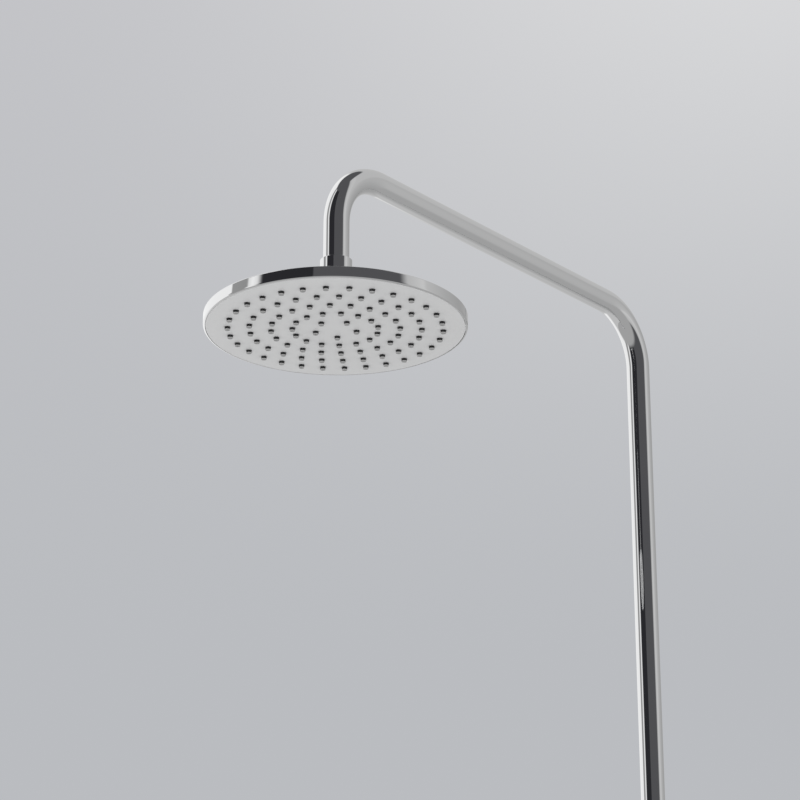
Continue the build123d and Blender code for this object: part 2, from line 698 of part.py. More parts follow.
with BuildPart() as holder:
    with BuildSketch(holder_axis):
        with BuildLine():
            Polyline(
                (0, -HOLDER_HALF_H),
                (cone_r(-HOLDER_HALF_H) + AIR + HOLDER_WALL, -HOLDER_HALF_H),
                (cone_r(HOLDER_HALF_H) + AIR + HOLDER_WALL, HOLDER_HALF_H),
                (0, HOLDER_HALF_H),
                close=True,
            )
        make_face()
    revolve(axis=Axis(holder_axis.origin, holder_axis.y_dir))
    for side in (-1, 1):
        with BuildSketch(to_right(side * EAR_IN, PIVOT_Y, SLIDER_Z)):
            Circle(LUG_R)
            with Locations((-HOLDER_REACH / 2, 0)):
                Rectangle(HOLDER_REACH, 2 * LUG_R)
        extrude(amount=side * EAR_T)
    with BuildSketch(holder_axis):
        with BuildLine():
            Polyline(
                (0, -2 * HOLDER_HALF_H),
                (cone_r(-2 * HOLDER_HALF_H) + AIR, -2 * HOLDER_HALF_H),
                (cone_r(2 * HOLDER_HALF_H) + AIR, 2 * HOLDER_HALF_H),
                (0, 2 * HOLDER_HALF_H),
                close=True,
            )
        make_face()
    revolve(axis=Axis(holder_axis.origin, holder_axis.y_dir), mode=Mode.SUBTRACT)
    with BuildSketch(LEAN_PLANE):
        with Locations((0, -CONE_R - HOLDER_WALL)):
            Rectangle(HOLDER_SLOT, 2 * (CONE_R + HOLDER_WALL))
    extrude(amount=2 * HOLDER_HALF_H, both=True, mode=Mode.SUBTRACT)
    with BuildSketch(to_right(-EAR_IN - EAR_T, PIVOT_Y, SLIDER_Z)):
        Circle(PIVOT_R + SEAT_FIT)
    extrude(amount=2 * (EAR_IN + EAR_T), mode=Mode.SUBTRACT)
holder.part.label = "holder"
export_step(holder.part, "parts/holder.step")

# Pivot screw through ears and lug, its cap nut, and the friction washers between them
PIVOT_HEAD_R = 5.5
PIVOT_HEAD_H = 2.6
PIVOT_SOCKET_R = 2.1
PIVOT_SOCKET_H = 1.5
with BuildPart() as pivot_screw:
    with BuildSketch(to_right(-EAR_IN - EAR_T - PIVOT_HEAD_H + AIR, PIVOT_Y, SLIDER_Z)):
        Circle(PIVOT_R)
    extrude(amount=2 * (EAR_IN + EAR_T) + PIVOT_HEAD_H - AIR)
    with BuildSketch(to_right(EAR_IN + EAR_T, PIVOT_Y, SLIDER_Z)):
        Circle(PIVOT_HEAD_R)
    extrude(amount=PIVOT_HEAD_H)
    with BuildSketch(to_right(EAR_IN + EAR_T + PIVOT_HEAD_H, PIVOT_Y, SLIDER_Z)):
        RegularPolygon(PIVOT_SOCKET_R, 6)
    extrude(amount=-PIVOT_SOCKET_H, mode=Mode.SUBTRACT)
pivot_screw.part.label = "pivot_screw"
export_step(pivot_screw.part, "parts/pivot_screw.step")

with BuildPart() as pivot_nut:
    with BuildSketch(to_right(-EAR_IN - EAR_T, PIVOT_Y, SLIDER_Z)):
        Circle(PIVOT_HEAD_R)
    extrude(amount=-PIVOT_HEAD_H)
    with BuildSketch(to_right(-EAR_IN - EAR_T, PIVOT_Y, SLIDER_Z)):
        Circle(PIVOT_R + SEAT_FIT)
    extrude(amount=-PIVOT_HEAD_H + AIR / 2, mode=Mode.SUBTRACT)
pivot_nut.part.label = "pivot_nut"
export_step(pivot_nut.part, "parts/pivot_nut.step")

with BuildPart() as pivot_washers:
    for side in (-1, 1):
        with BuildSketch(to_right(side * (LUG_HALF + SEAT_FIT), PIVOT_Y, SLIDER_Z)):
            Circle(LUG_R - AIR)
            Circle(PIVOT_R + SEAT_FIT, mode=Mode.SUBTRACT)
        extrude(amount=side * WASHER_PLATE)
pivot_washers.part.label = "pivot_washers"
export_step(pivot_washers.part, "parts/pivot_washers.step")

# Hand shower shell: leaning handle with a seating cone, and a round spray head
lean = radians(HOLDER_LEAN)
dip = radians(HAND_FACE_DIP)
neck_y = HOLDER_Y - HANDLE_L * sin(lean)
neck_z = SLIDER_Z + HANDLE_L * cos(lean)
HAND_SPAN = HAND_R - HAND_NECK_IN
HAND_Y = neck_y - HAND_SPAN * sin(dip) - HAND_AXIS_BACK * cos(dip)
HAND_Z = neck_z + HAND_SPAN * cos(dip) - HAND_AXIS_BACK * sin(dip)
hand_axis = section(HAND_Y, HAND_Z, HAND_FACE_DIP - 90.0)
HAND_PLANE = Plane(
    origin=(0, HAND_Y, HAND_Z), x_dir=(1, 0, 0), z_dir=(0, cos(dip), sin(dip))
)
TUBE_GAP_R = WATER_TUBE_R + AIR
with BuildPart() as handset_shell:
    with BuildSketch(holder_axis):
        with BuildLine():
            Polyline(
                (0, HANDLE_L + HANDLE_END),
                (0, -HANDLE_FOOT),
                (cone_r(-HANDLE_FOOT), -HANDLE_FOOT),
                (cone_r(HOLDER_HALF_H), HOLDER_HALF_H),
            )
            ThreePointArc(
                (cone_r(HOLDER_HALF_H), HOLDER_HALF_H),
                (HANDLE_WAIST_R, HANDLE_L / 2),
                (HANDLE_TOP_R, HANDLE_L),
            )
            Polyline(
                (HANDLE_TOP_R, HANDLE_L),
                (HANDLE_END_R, HANDLE_L + HANDLE_END),
                (0, HANDLE_L + HANDLE_END),
            )
        make_face()
    revolve(axis=Axis(holder_axis.origin, holder_axis.y_dir))
    with BuildSketch(hand_axis):
        with BuildLine():
            Polyline(
                (0, HAND_BACK_H),
                (0, 0),
                (HAND_R - RIM_EDGE, 0),
                (HAND_R, RIM_EDGE),
                (HAND_R, HAND_RIM_H),
            )
            ThreePointArc(
                (HAND_R, HAND_RIM_H),
                (HAND_SHOULDER_R, HAND_SHOULDER_H),
                (0, HAND_BACK_H),
            )
        make_face()
    revolve(axis=Axis(hand_axis.origin, hand_axis.y_dir))
    with BuildSketch(HAND_PLANE):
        Circle(HAND_R - HAND_WALL)
    extrude(amount=HAND_POCKET, mode=Mode.SUBTRACT)
    with BuildSketch(LEAN_PLANE.offset(-HANDLE_FOOT)):
        Circle(TUBE_GAP_R)
    extrude(amount=HANDLE_FOOT + HANDLE_L, mode=Mode.SUBTRACT)
handset_shell.part.label = "handset_shell"
export_step(handset_shell.part, "parts/handset_shell.step")

# Hand shower face plate, nozzle mat and the ring that clamps the mat
HAND_PLATE_R = HAND_R - HAND_WALL - AIR
HAND_NOZZLES = nozzle_places(HAND_COUNTS, HAND_PITCH)
with BuildPart() as handset_face:
    with BuildSketch(HAND_PLANE):
        Circle(HAND_PLATE_R)
        with Locations(*HAND_NOZZLES):
            RegularPolygon(NOZZLE_R + SEAT_FIT, NOZZLE_SIDES, mode=Mode.SUBTRACT)
    extrude(amount=PLATE_T)
handset_face.part.label = "handset_face"
export_step(handset_face.part, "parts/handset_face.step")

with BuildPart() as handset_mat:
    with BuildSketch(HAND_PLANE.offset(PLATE_T)):
        Circle(HAND_PLATE_R)
    extrude(amount=MAT_T)
    with BuildSketch(HAND_PLANE.offset(PLATE_T)):
        with Locations(*HAND_NOZZLES):
            RegularPolygon(NOZZLE_R, NOZZLE_SIDES)
    extrude(amount=-PLATE_T - NOZZLE_REACH, taper=NOZZLE_TAPER)
handset_mat.part.label = "handset_mat"
export_step(handset_mat.part, "parts/handset_mat.step")

handset_clamp = ring(
    HAND_PLANE.offset(COVER_FOOT), HAND_PLATE_R, HAND_PLATE_R - COVER_SKIRT, HAND_POCKET - COVER_FOOT
)
handset_clamp.part.label = "handset_clamp"
export_step(handset_clamp.part, "parts/handset_clamp.step")

# Inner water tube of the handle, and the threaded inlet at its foot
INLET_PLUG = 10.0
INLET_BORE_R = 5.0
handset_tube = ring(
    LEAN_PLANE.offset(INLET_PLUG - HANDLE_FOOT),
    WATER_TUBE_R,
    WATER_TUBE_R - TUBE_WALL,
    HANDLE_L - 2 * INLET_PLUG,
)
handset_tube.part.label = "handset_tube"
export_step(handset_tube.part, "parts/handset_tube.step")

handset_inlet = turned(
    holder_axis,
    [
        (INLET_BORE_R, -HANDLE_FOOT - THREAD_L),
        (THREAD_R, -HANDLE_FOOT - THREAD_L),
        (THREAD_R, -HANDLE_FOOT),
        (TUBE_GAP_R - SEAT_FIT, -HANDLE_FOOT),
        (TUBE_GAP_R - SEAT_FIT, -HANDLE_FOOT + INLET_PLUG - AIR),
        (INLET_BORE_R, -HANDLE_FOOT + INLET_PLUG - AIR),
    ],
)
handset_inlet.part.label = "handset_inlet"
export_step(handset_inlet.part, "parts/handset_inlet.step")

# Diverter body: socket for the rail, wall post, front housing, side outlet and waterways
PORT_R = 2.6
PORT_PLACE = 5.2
PORT_BACK = 5.0
PORT_LAP = 0.65
BORE_STOP = PORT_PLACE + PORT_LAP
OUTLET_BORE_L = 9.0
PORT_CENTRES = ((0, -PORT_PLACE), (0, PORT_PLACE), (PORT_PLACE, 0))
with BuildPart() as diverter_body:
    with BuildSketch(up(0, RAIL_Y, DIV_Z - DIV_FOOT)):
        Circle(DIV_R)
    extrude(amount=DIV_FOOT + DIV_TOP)
    chamfer(diverter_body.faces().filter_by(Axis.Z).edges(), RIM_EDGE)
    with BuildSketch(to_room(DIV_Z, -BASE_T - AIR)):
        Circle(POST_R)
    extrude(amount=STANDOFF - BASE_T - AIR)
    with BuildSketch(to_room(DIV_Z, RAIL_Y)):
        Circle(FRONT_R)
    extrude(amount=FRONT_REACH)
    with BuildSketch(to_right(0, RAIL_Y, DIV_Z)):
        Circle(OUTLET_R)
    extrude(amount=OUTLET_REACH)
    with BuildSketch(to_room(DIV_Z, -BASE_T - AIR)):
        Circle(STUB_R + SEAT_FIT)
    extrude(amount=STUB_L, mode=Mode.SUBTRACT)
    with BuildSketch(up(0, -BASE_T - STUB_L / 2, DIV_Z - POST_R)):
        Circle(GRUB_R)
    extrude(amount=POST_R - STUB_R, mode=Mode.SUBTRACT)
    with BuildSketch(up(0, RAIL_Y, RAIL_FOOT_Z)):
        Circle(TUBE_R + SEAT_FIT)
    extrude(amount=SOCKET_DEPTH, mode=Mode.SUBTRACT)
    with BuildSketch(up(0, RAIL_Y, DIV_Z - DIV_FOOT)):
        Circle(WATERWAY_R)
    extrude(amount=DIV_FOOT - BORE_STOP, mode=Mode.SUBTRACT)
    with BuildSketch(up(0, RAIL_Y, DIV_Z + BORE_STOP)):
        Circle(WATERWAY_R)
    extrude(amount=DIV_TOP - BORE_STOP, mode=Mode.SUBTRACT)
    with BuildSketch(to_room(DIV_Z, RAIL_Y + CAVITY_BACK)):
        Circle(CAVITY_R)
    extrude(amount=FRONT_REACH + CAVITY_BACK, mode=Mode.SUBTRACT)
    with BuildSketch(to_room(DIV_Z, RAIL_Y + PORT_BACK)):
        with Locations(*PORT_CENTRES):
            Circle(PORT_R)
    extrude(amount=PORT_BACK, mode=Mode.SUBTRACT)
    with BuildSketch(to_right(PORT_PLACE, RAIL_Y + PORT_BACK, DIV_Z)):
        Circle(PORT_R)
    extrude(amount=OUTLET_REACH - PORT_PLACE - OUTLET_BORE_L / 2, mode=Mode.SUBTRACT)
    with BuildSketch(to_right(OUTLET_REACH - OUTLET_BORE_L, RAIL_Y, DIV_Z)):
        Circle(WATERWAY_R)
    extrude(amount=OUTLET_BORE_L, mode=Mode.SUBTRACT)
diverter_body.part.label = "diverter_body"
export_step(diverter_body.part, "parts/diverter_body.step")

# Threaded inlet under the diverter and hose outlet at its side, each with a hex collar
NIPPLE_TAIL = OUTLET_BORE_L - AIR
NIPPLE_TAIL_R = WATERWAY_R - SEAT_FIT
NIPPLE_BORE_R = 4.6
with BuildPart() as inlet_nipple:
    with BuildSketch(up(0, RAIL_Y, DIV_Z - DIV_FOOT)):
        RegularPolygon(HEX_AF / 2, 6, major_radius=False)
    extrude(amount=-HEX_T)
    with BuildSketch(up(0, RAIL_Y, DIV_Z - DIV_FOOT - HEX_T)):
        Circle(THREAD_R)
    extrude(amount=-THREAD_L)
    with BuildSketch(up(0, RAIL_Y, DIV_Z - DIV_FOOT)):
        Circle(NIPPLE_TAIL_R)
    extrude(amount=NIPPLE_TAIL)
    with BuildSketch(up(0, RAIL_Y, DIV_Z - DIV_FOOT - HEX_T - THREAD_L)):
        Circle(NIPPLE_BORE_R)
    extrude(amount=HEX_T + THREAD_L + NIPPLE_TAIL, mode=Mode.SUBTRACT)
inlet_nipple.part.label = "inlet_nipple"
export_step(inlet_nipple.part, "parts/inlet_nipple.step")

VALVE_BORE_R = 2.1
VALVE_L = 10.0
with BuildPart() as outlet_nipple:
    with BuildSketch(to_right(OUTLET_REACH, RAIL_Y, DIV_Z)):
        RegularPolygon(HEX_AF / 2, 6, major_radius=False)
    extrude(amount=HEX_T)
    with BuildSketch(to_right(OUTLET_REACH + HEX_T, RAIL_Y, DIV_Z)):
        Circle(THREAD_R)
    extrude(amount=THREAD_L)
    with BuildSketch(to_right(OUTLET_REACH, RAIL_Y, DIV_Z)):
        Circle(NIPPLE_TAIL_R)
    extrude(amount=-NIPPLE_TAIL)
    with BuildSketch(to_right(OUTLET_REACH - NIPPLE_TAIL, RAIL_Y, DIV_Z)):
        Circle(NIPPLE_BORE_R)
    extrude(amount=HEX_T + THREAD_L + NIPPLE_TAIL, mode=Mode.SUBTRACT)
outlet_nipple.part.label = "outlet_nipple"
export_step(outlet_nipple.part, "parts/outlet_nipple.step")

# Check valve insert in the hose outlet
check_valve = ring(
    to_right(OUTLET_REACH, RAIL_Y, DIV_Z), NIPPLE_BORE_R - SEAT_FIT, VALVE_BORE_R, VALVE_L
)
check_valve.part.label = "check_valve"
export_step(check_valve.part, "parts/check_valve.step")

# Ceramic cartridge: rubber base seal, housing, fixed disc, turning disc and spindle
BASE_SEAL_T = 2.0
CART_BACK_Y = RAIL_Y + CAVITY_BACK
DISC_START_Y = CART_BACK_Y - BASE_SEAL_T
NUT_RING_T = 5.0
HOUSING_L = FRONT_REACH + CAVITY_BACK - BASE_SEAL_T - NUT_RING_T
HOUSING_LIP = 4.0
with BuildPart() as base_seal:
    with BuildSketch(to_room(DIV_Z, CART_BACK_Y)):
        Circle(CAVITY_R - SEAT_FIT)
        with Locations(*PORT_CENTRES):
            Circle(PORT_R, mode=Mode.SUBTRACT)
    extrude(amount=BASE_SEAL_T)
base_seal.part.label = "base_seal"
export_step(base_seal.part, "parts/base_seal.step")

with BuildPart() as cartridge_housing:
    with BuildSketch(to_room(DIV_Z, DISC_START_Y)):
        Circle(CAVITY_R - SEAT_FIT)
    extrude(amount=HOUSING_L)
    with BuildSketch(to_room(DIV_Z, DISC_START_Y)):
        Circle(DISC_R + AIR)
    extrude(amount=HOUSING_L - HOUSING_LIP, mode=Mode.SUBTRACT)
    with BuildSketch(to_room(DIV_Z, DISC_START_Y)):
        Circle(SPINDLE_R + RUN_FIT)
    extrude(amount=HOUSING_L, mode=Mode.SUBTRACT)
cartridge_housing.part.label = "cartridge_housing"
export_step(cartridge_housing.part, "parts/cartridge_housing.step")

with BuildPart() as fixed_disc:
    with BuildSketch(to_room(DIV_Z, DISC_START_Y)):
        Circle(DISC_R)
        with Locations(*PORT_CENTRES):
            Circle(PORT_R, mode=Mode.SUBTRACT)
    extrude(amount=DISC_T)
fixed_disc.part.label = "fixed_disc"
export_step(fixed_disc.part, "parts/fixed_disc.step")

# The turning disc's half-ring channel joins the inlet's port at the bottom to the rail's at the top,
# or, a quarter turn on, to the hose outlet's at the right
TURN_DISC_Y = DISC_START_Y - DISC_T - SEAT_FIT
CHANNEL_DEPTH = 1.6
channel_line = CenterArc((0, 0), PORT_PLACE, 90, 180)
with BuildPart() as turning_disc:
    with BuildSketch(to_room(DIV_Z, TURN_DISC_Y)):
        Circle(DISC_R)
    extrude(amount=DISC_T)
    with BuildSketch(to_room(DIV_Z, TURN_DISC_Y)):
        SlotArc(channel_line, 2 * PORT_R)
    extrude(amount=CHANNEL_DEPTH, mode=Mode.SUBTRACT)
turning_disc.part.label = "turning_disc"
export_step(turning_disc.part, "parts/turning_disc.step")

CARRIER_T = HOUSING_L - HOUSING_LIP - 2 * (DISC_T + SEAT_FIT) - AIR
SPINDLE_START_Y = TURN_DISC_Y - DISC_T - SEAT_FIT
FRONT_Y = RAIL_Y - FRONT_REACH
SPINDLE_OUT = 10.0
DRIVE_FLAT = 1.0
KNOB_SCREW_R = 1.8
with BuildPart() as cartridge_spindle:
    with BuildSketch(to_room(DIV_Z, SPINDLE_START_Y)):
        Circle(DISC_R)
    extrude(amount=CARRIER_T)
    with BuildSketch(to_room(DIV_Z, SPINDLE_START_Y)):
        Circle(SPINDLE_R)
    extrude(amount=SPINDLE_START_Y - FRONT_Y + SPINDLE_OUT)
    with BuildSketch(to_room(DIV_Z, FRONT_Y - AIR)):
        with Locations((0, SPINDLE_R)):
            Rectangle(2 * SPINDLE_R, 2 * DRIVE_FLAT)
    extrude(amount=SPINDLE_OUT, mode=Mode.SUBTRACT)
    with BuildSketch(to_room(DIV_Z, FRONT_Y - SPINDLE_OUT)):
        Circle(KNOB_SCREW_R + SEAT_FIT)
    extrude(amount=-SPINDLE_OUT, mode=Mode.SUBTRACT)
cartridge_spindle.part.label = "cartridge_spindle"
export_step(cartridge_spindle.part, "parts/cartridge_spindle.step")

# Ring nut that holds the cartridge in the front housing
cartridge_nut = ring(
    to_room(DIV_Z, FRONT_Y + NUT_RING_T), CAVITY_R - SEAT_FIT, SPINDLE_R + AIR, NUT_RING_T
)
cartridge_nut.part.label = "cartridge_nut"
export_step(cartridge_nut.part, "parts/cartridge_nut.step")

# Diverter knob: a cup over the front housing with a bar grip, its screw and its cap
DIAL_BACK_Y = FRONT_Y + DIAL_OVERLAP
DIAL_FRONT_Y = DIAL_BACK_Y - DIAL_L
DIAL_FLOOR_Y = FRONT_Y - AIR
SCREW_HEAD_H = 2.4
CAP_T = 0.8
with BuildPart() as diverter_knob:
    with BuildSketch(to_room(DIV_Z, DIAL_BACK_Y)):
        Circle(DIAL_R)
    extrude(amount=DIAL_L)
    chamfer(diverter_knob.faces().sort_by(Axis.Y)[0].edges(), RIM_EDGE)
    with BuildSketch(to_room(DIV_Z, DIAL_FRONT_Y)):
        Rectangle(GRIP_W, 2 * (DIAL_R - RIM_EDGE) - GRIP_W)
        with Locations((0, -DIAL_R + RIM_EDGE + GRIP_W / 2), (0, DIAL_R - RIM_EDGE - GRIP_W / 2)):
            Circle(GRIP_W / 2)
    extrude(amount=GRIP_H)
    with BuildSketch(to_room(DIV_Z, DIAL_BACK_Y)):
        Circle(DIAL_R - DIAL_WALL)
    extrude(amount=DIAL_OVERLAP + AIR, mode=Mode.SUBTRACT)
    with BuildSketch(to_room(DIV_Z, DIAL_FLOOR_Y)):
        Circle(SPINDLE_R + SEAT_FIT)
    extrude(amount=SPINDLE_OUT, mode=Mode.SUBTRACT)
    with BuildSketch(to_room(DIV_Z, DIAL_FLOOR_Y)):
        Circle(KNOB_SCREW_R + SEAT_FIT)
    extrude(amount=DIAL_L, mode=Mode.SUBTRACT)
    with BuildSketch(to_room(DIV_Z, DIAL_FRONT_Y + SCREW_HEAD_H)):
        Circle(CAP_R - AIR)
    extrude(amount=GRIP_H + SCREW_HEAD_H, mode=Mode.SUBTRACT)
diverter_knob.part.label = "diverter_knob"
export_step(diverter_knob.part, "parts/diverter_knob.step")

with BuildPart() as knob_screw:
    with BuildSketch(to_room(DIV_Z, DIAL_FRONT_Y + SCREW_HEAD_H)):
        Circle(CAP_R - 2 * AIR)
    extrude(amount=SCREW_HEAD_H)
    with BuildSketch(to_room(DIV_Z, DIAL_FRONT_Y + SCREW_HEAD_H)):
        Circle(KNOB_SCREW_R)
    extrude(amount=-(DIAL_FLOOR_Y - DIAL_FRONT_Y - SCREW_HEAD_H) + AIR)
knob_screw.part.label = "knob_screw"
export_step(knob_screw.part, "parts/knob_screw.step")

with BuildPart() as knob_cap:
    with BuildSketch(to_room(DIV_Z, DIAL_FRONT_Y - GRIP_H)):
        Circle(CAP_R)
    extrude(amount=CAP_T)
    with BuildSketch(to_room(DIV_Z, DIAL_FRONT_Y - GRIP_H)):
        Circle(CAP_R - AIR - SEAT_FIT)
    extrude(amount=-GRIP_H + AIR)
knob_cap.part.label = "knob_cap"
export_step(knob_cap.part, "parts/knob_cap.step")
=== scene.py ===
import json
import math

import bmesh
import bpy
from mathutils import Matrix, Vector


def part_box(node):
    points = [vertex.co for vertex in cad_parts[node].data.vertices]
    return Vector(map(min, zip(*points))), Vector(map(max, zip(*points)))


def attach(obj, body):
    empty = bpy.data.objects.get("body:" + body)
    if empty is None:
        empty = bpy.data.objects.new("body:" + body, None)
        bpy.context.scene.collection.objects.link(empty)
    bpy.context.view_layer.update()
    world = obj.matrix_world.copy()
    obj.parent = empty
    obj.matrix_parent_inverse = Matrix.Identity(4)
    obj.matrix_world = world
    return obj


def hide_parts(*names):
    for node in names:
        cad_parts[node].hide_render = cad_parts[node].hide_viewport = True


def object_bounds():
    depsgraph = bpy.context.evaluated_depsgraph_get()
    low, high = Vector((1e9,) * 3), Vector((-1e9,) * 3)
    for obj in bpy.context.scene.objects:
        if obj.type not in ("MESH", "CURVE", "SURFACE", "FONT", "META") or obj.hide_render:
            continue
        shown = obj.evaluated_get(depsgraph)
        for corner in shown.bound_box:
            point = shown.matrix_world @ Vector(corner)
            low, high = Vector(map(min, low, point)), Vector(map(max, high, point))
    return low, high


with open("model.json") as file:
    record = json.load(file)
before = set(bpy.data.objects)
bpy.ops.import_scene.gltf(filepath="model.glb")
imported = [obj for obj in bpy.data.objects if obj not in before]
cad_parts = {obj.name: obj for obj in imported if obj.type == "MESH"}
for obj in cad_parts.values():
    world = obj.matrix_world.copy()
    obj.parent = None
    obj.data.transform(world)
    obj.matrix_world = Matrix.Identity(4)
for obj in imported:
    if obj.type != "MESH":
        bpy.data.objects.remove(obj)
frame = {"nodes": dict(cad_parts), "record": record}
cad_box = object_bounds()

# Upper pipe: riser, arm and the stub over the head, one brass tube of 20 mm with two bends of
# 50 mm, drawn, bent on a mandrel, polished and chromed. Its foot stands on the joint in the upper
# bracket.
rail_y = -0.060
head_y = -0.467
face_z = 0.34275
arm_z = 0.480
tube_r = 0.010
tube_wall = 0.0012
bend_r = 0.050
pipe_end_z = face_z + 0.050
bend_steps = 32
pipe_sides = 64
merge_distance = 1e-6
ripple_scale = 55.0
haze_scale = 13.0
drop_scale = 150.0
polish = 0.016
finishes = {}


class Value:
    """A shader socket whose arithmetic adds Math nodes."""

    def __init__(self, shader, socket):
        self.shader = shader
        self.socket = socket

    def math(self, operation, *terms):
        return self.shader.add("ShaderNodeMath", {"operation": operation}, dict(enumerate(terms)))

    def __add__(self, other):
        return self.math("ADD", self, other)

    def __rsub__(self, other):
        return self.math("SUBTRACT", other, self)

    def __mul__(self, other):
        return self.math("MULTIPLY", self, other)

    def __truediv__(self, other):
        return self.math("DIVIDE", self, other)

    def smooth(self, low, high):
        """0 at low, 1 at high, and an S-shaped step between them."""
        settings = {"interpolation_type": "SMOOTHSTEP"}
        inputs = {"Value": self, "From Min": low, "From Max": high}
        return self.shader.add("ShaderNodeMapRange", settings, inputs)


class Shader:
    """A node tree; add() makes any node from its type, its settings and its sockets' values."""

    def __init__(self, tree):
        self.tree = tree

    def add(self, kind, settings=None, inputs=None, out=0):
        node = self.tree.nodes.new(kind)
        for key, setting in (settings or {}).items():
            if key == "stops":
                ramp = node.color_ramp
                while len(ramp.elements) < len(setting):
                    ramp.elements.new(1.0)
                for element, (place, colour) in zip(ramp.elements, setting):
                    element.position = place
                    element.color = colour
            else:
                setattr(node, key, setting)
        for key, value in (inputs or {}).items():
            self.link(value, node.inputs[key])
        return Value(self, node.outputs[out]) if node.outputs else None

    def link(self, value, socket):
        """Joins a value to a socket, or writes a plain one on it."""
        if isinstance(value, Value):
            self.tree.links.new(value.socket, socket)
        else:
            socket.default_value = value

    def blend(self, factor, first, second):
        """A colour between two colours."""
        return self.add(
            "ShaderNodeMix", {"data_type": "RGBA"}, {0: factor, 6: first, 7: second}, out=2
        )

    def place(self):
        """The point on the object, in metres."""
        return self.add("ShaderNodeTexCoord", out=3)

    def noise(self, scale, detail=2.0):
        inputs = {"Vector": self.place(), "Scale": scale, "Detail": detail}
        return self.add("ShaderNodeTexNoise", {}, inputs)

    def relief(self, height, strength, distance):
        """A normal raised by a height, over a distance in metres."""
        inputs = {"Strength": strength, "Distance": distance, "Height": height}
        return self.add("ShaderNodeBump", {}, inputs)


def surface(name, constants, varied):
    """A Principled material: constants on its sockets, and varied(shader) for its links."""
    material = bpy.data.materials.new(name)
    material.use_nodes = True
    principled = material.node_tree.nodes["Principled BSDF"]
    for key, value in constants.items():
        principled.inputs[key].default_value = value
    shader = Shader(material.node_tree)
    for key, value in varied(shader).items():
        shader.link(value, principled.inputs[key])
    finishes[name] = material
    return material


def chrome_finish(shader):
    """Mirror plate: the slow ripple that polishing leaves, thin haze and a few dried drops."""
    ripple = shader.noise(ripple_scale, 1.0)
    haze = shader.noise(haze_scale, 3.0).smooth(0.50, 0.78)
    cells = shader.add(
        "ShaderNodeTexVoronoi", {"feature": "F1"}, {"Vector": shader.place(), "Scale": drop_scale}
    )
    drops = (1 - cells.smooth(0.10, 0.20)) * haze
    tone = shader.blend(haze, (0.805, 0.808, 0.812, 1.0), (0.785, 0.79, 0.797, 1.0))
    return {
        "Base Color": tone,
        "Roughness": haze * 0.022 + drops * 0.06 + polish,
        "Normal": shader.relief(ripple, 0.12, 0.00002),
    }


surface("chromed_brass", {"Metallic": 1.0}, chrome_finish)


def begin():
    """Nothing selected, object mode: the state in which each new piece starts."""
    if bpy.context.object and bpy.context.object.mode != "OBJECT":
        bpy.ops.object.mode_set(mode="OBJECT")
    bpy.ops.object.select_all(action="DESELECT")


def only(piece):
    """Makes a piece the one selected and active object."""
    begin()
    piece.select_set(True)
    bpy.context.view_layer.objects.active = piece


def modify(piece, kind, **settings):
    """Adds one modifier and applies it."""
    only(piece)
    modifier = piece.modifiers.new(kind.lower(), kind)
    for key, value in settings.items():
        setattr(modifier, key, value)
    bpy.ops.object.modifier_apply(modifier=modifier.name)


def tidy_normals(piece, merge=merge_distance):
    """Merges doubled points and turns every face outwards."""
    only(piece)
    bpy.ops.object.mode_set(mode="EDIT")
    bpy.ops.mesh.select_all(action="SELECT")
    bpy.ops.mesh.remove_doubles(threshold=merge)
    bpy.ops.mesh.normals_make_consistent(inside=False)
    bpy.ops.object.mode_set(mode="OBJECT")


def smooth(piece, angle=35.0):
    """Smooth over the rounds, crisp at sharp edges, and flat faces kept flat beside a round."""
    only(piece)
    bpy.ops.object.shade_smooth_by_angle(angle=math.radians(angle))
    modify(piece, "WEIGHTED_NORMAL", keep_sharp=True, weight=100)


def fit(piece, body, slot, *nodes, finish=None):
    """Dresses a finished piece, hangs it on its body and lets it stand for its CAD nodes."""
    piece.data.materials.clear()
    piece.data.materials.append(finish or finishes[slot])
    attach(piece, body)
    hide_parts(*nodes)


begin()
pipe_foot_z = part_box("upper_pipe")[0].z
bpy.ops.mesh.primitive_circle_add(
    vertices=pipe_sides, radius=tube_r, location=(0, rail_y, pipe_foot_z)
)
pipe = bpy.context.object
pipe.name = "riser_and_arm"
bpy.ops.object.transform_apply()
bpy.ops.object.mode_set(mode="EDIT")
bpy.ops.mesh.select_all(action="SELECT")
bpy.ops.mesh.extrude_edges_move(
    TRANSFORM_OT_translate={"value": (0, 0, arm_z - bend_r - pipe_foot_z)}
)
bpy.ops.mesh.spin(
    steps=bend_steps,
    angle=math.radians(90),
    center=(0, rail_y - bend_r, arm_z - bend_r),
    axis=(-1, 0, 0),
)
bpy.ops.mesh.extrude_edges_move(
    TRANSFORM_OT_translate={"value": (0, head_y - rail_y + 2 * bend_r, 0)}
)
bpy.ops.mesh.spin(
    steps=bend_steps,
    angle=math.radians(90),
    center=(0, head_y + bend_r, arm_z - bend_r),
    axis=(-1, 0, 0),
)
bpy.ops.mesh.extrude_edges_move(
    TRANSFORM_OT_translate={"value": (0, 0, pipe_end_z - arm_z + bend_r)}
)
tidy_normals(pipe)
modify(pipe, "SOLIDIFY", thickness=tube_wall, offset=-1.0)
smooth(pipe)
fit(pipe, "wall_set", "chromed_brass", "upper_pipe")

# Swivel nut: the plain round collar at the pipe's end, turned from brass and chromed. It runs over
# the pipe's thread and draws the ball stem's flange up against its washer.
nut_r = 0.01225
nut_foot = 0.033
nut_l = 0.023
nut_edge = 0.0005
bore_edge = 0.0002
loop_reach = 2e-6
nut_floor = 0.0025
nut_bore = 0.01058
stem_hole_r = 0.0068


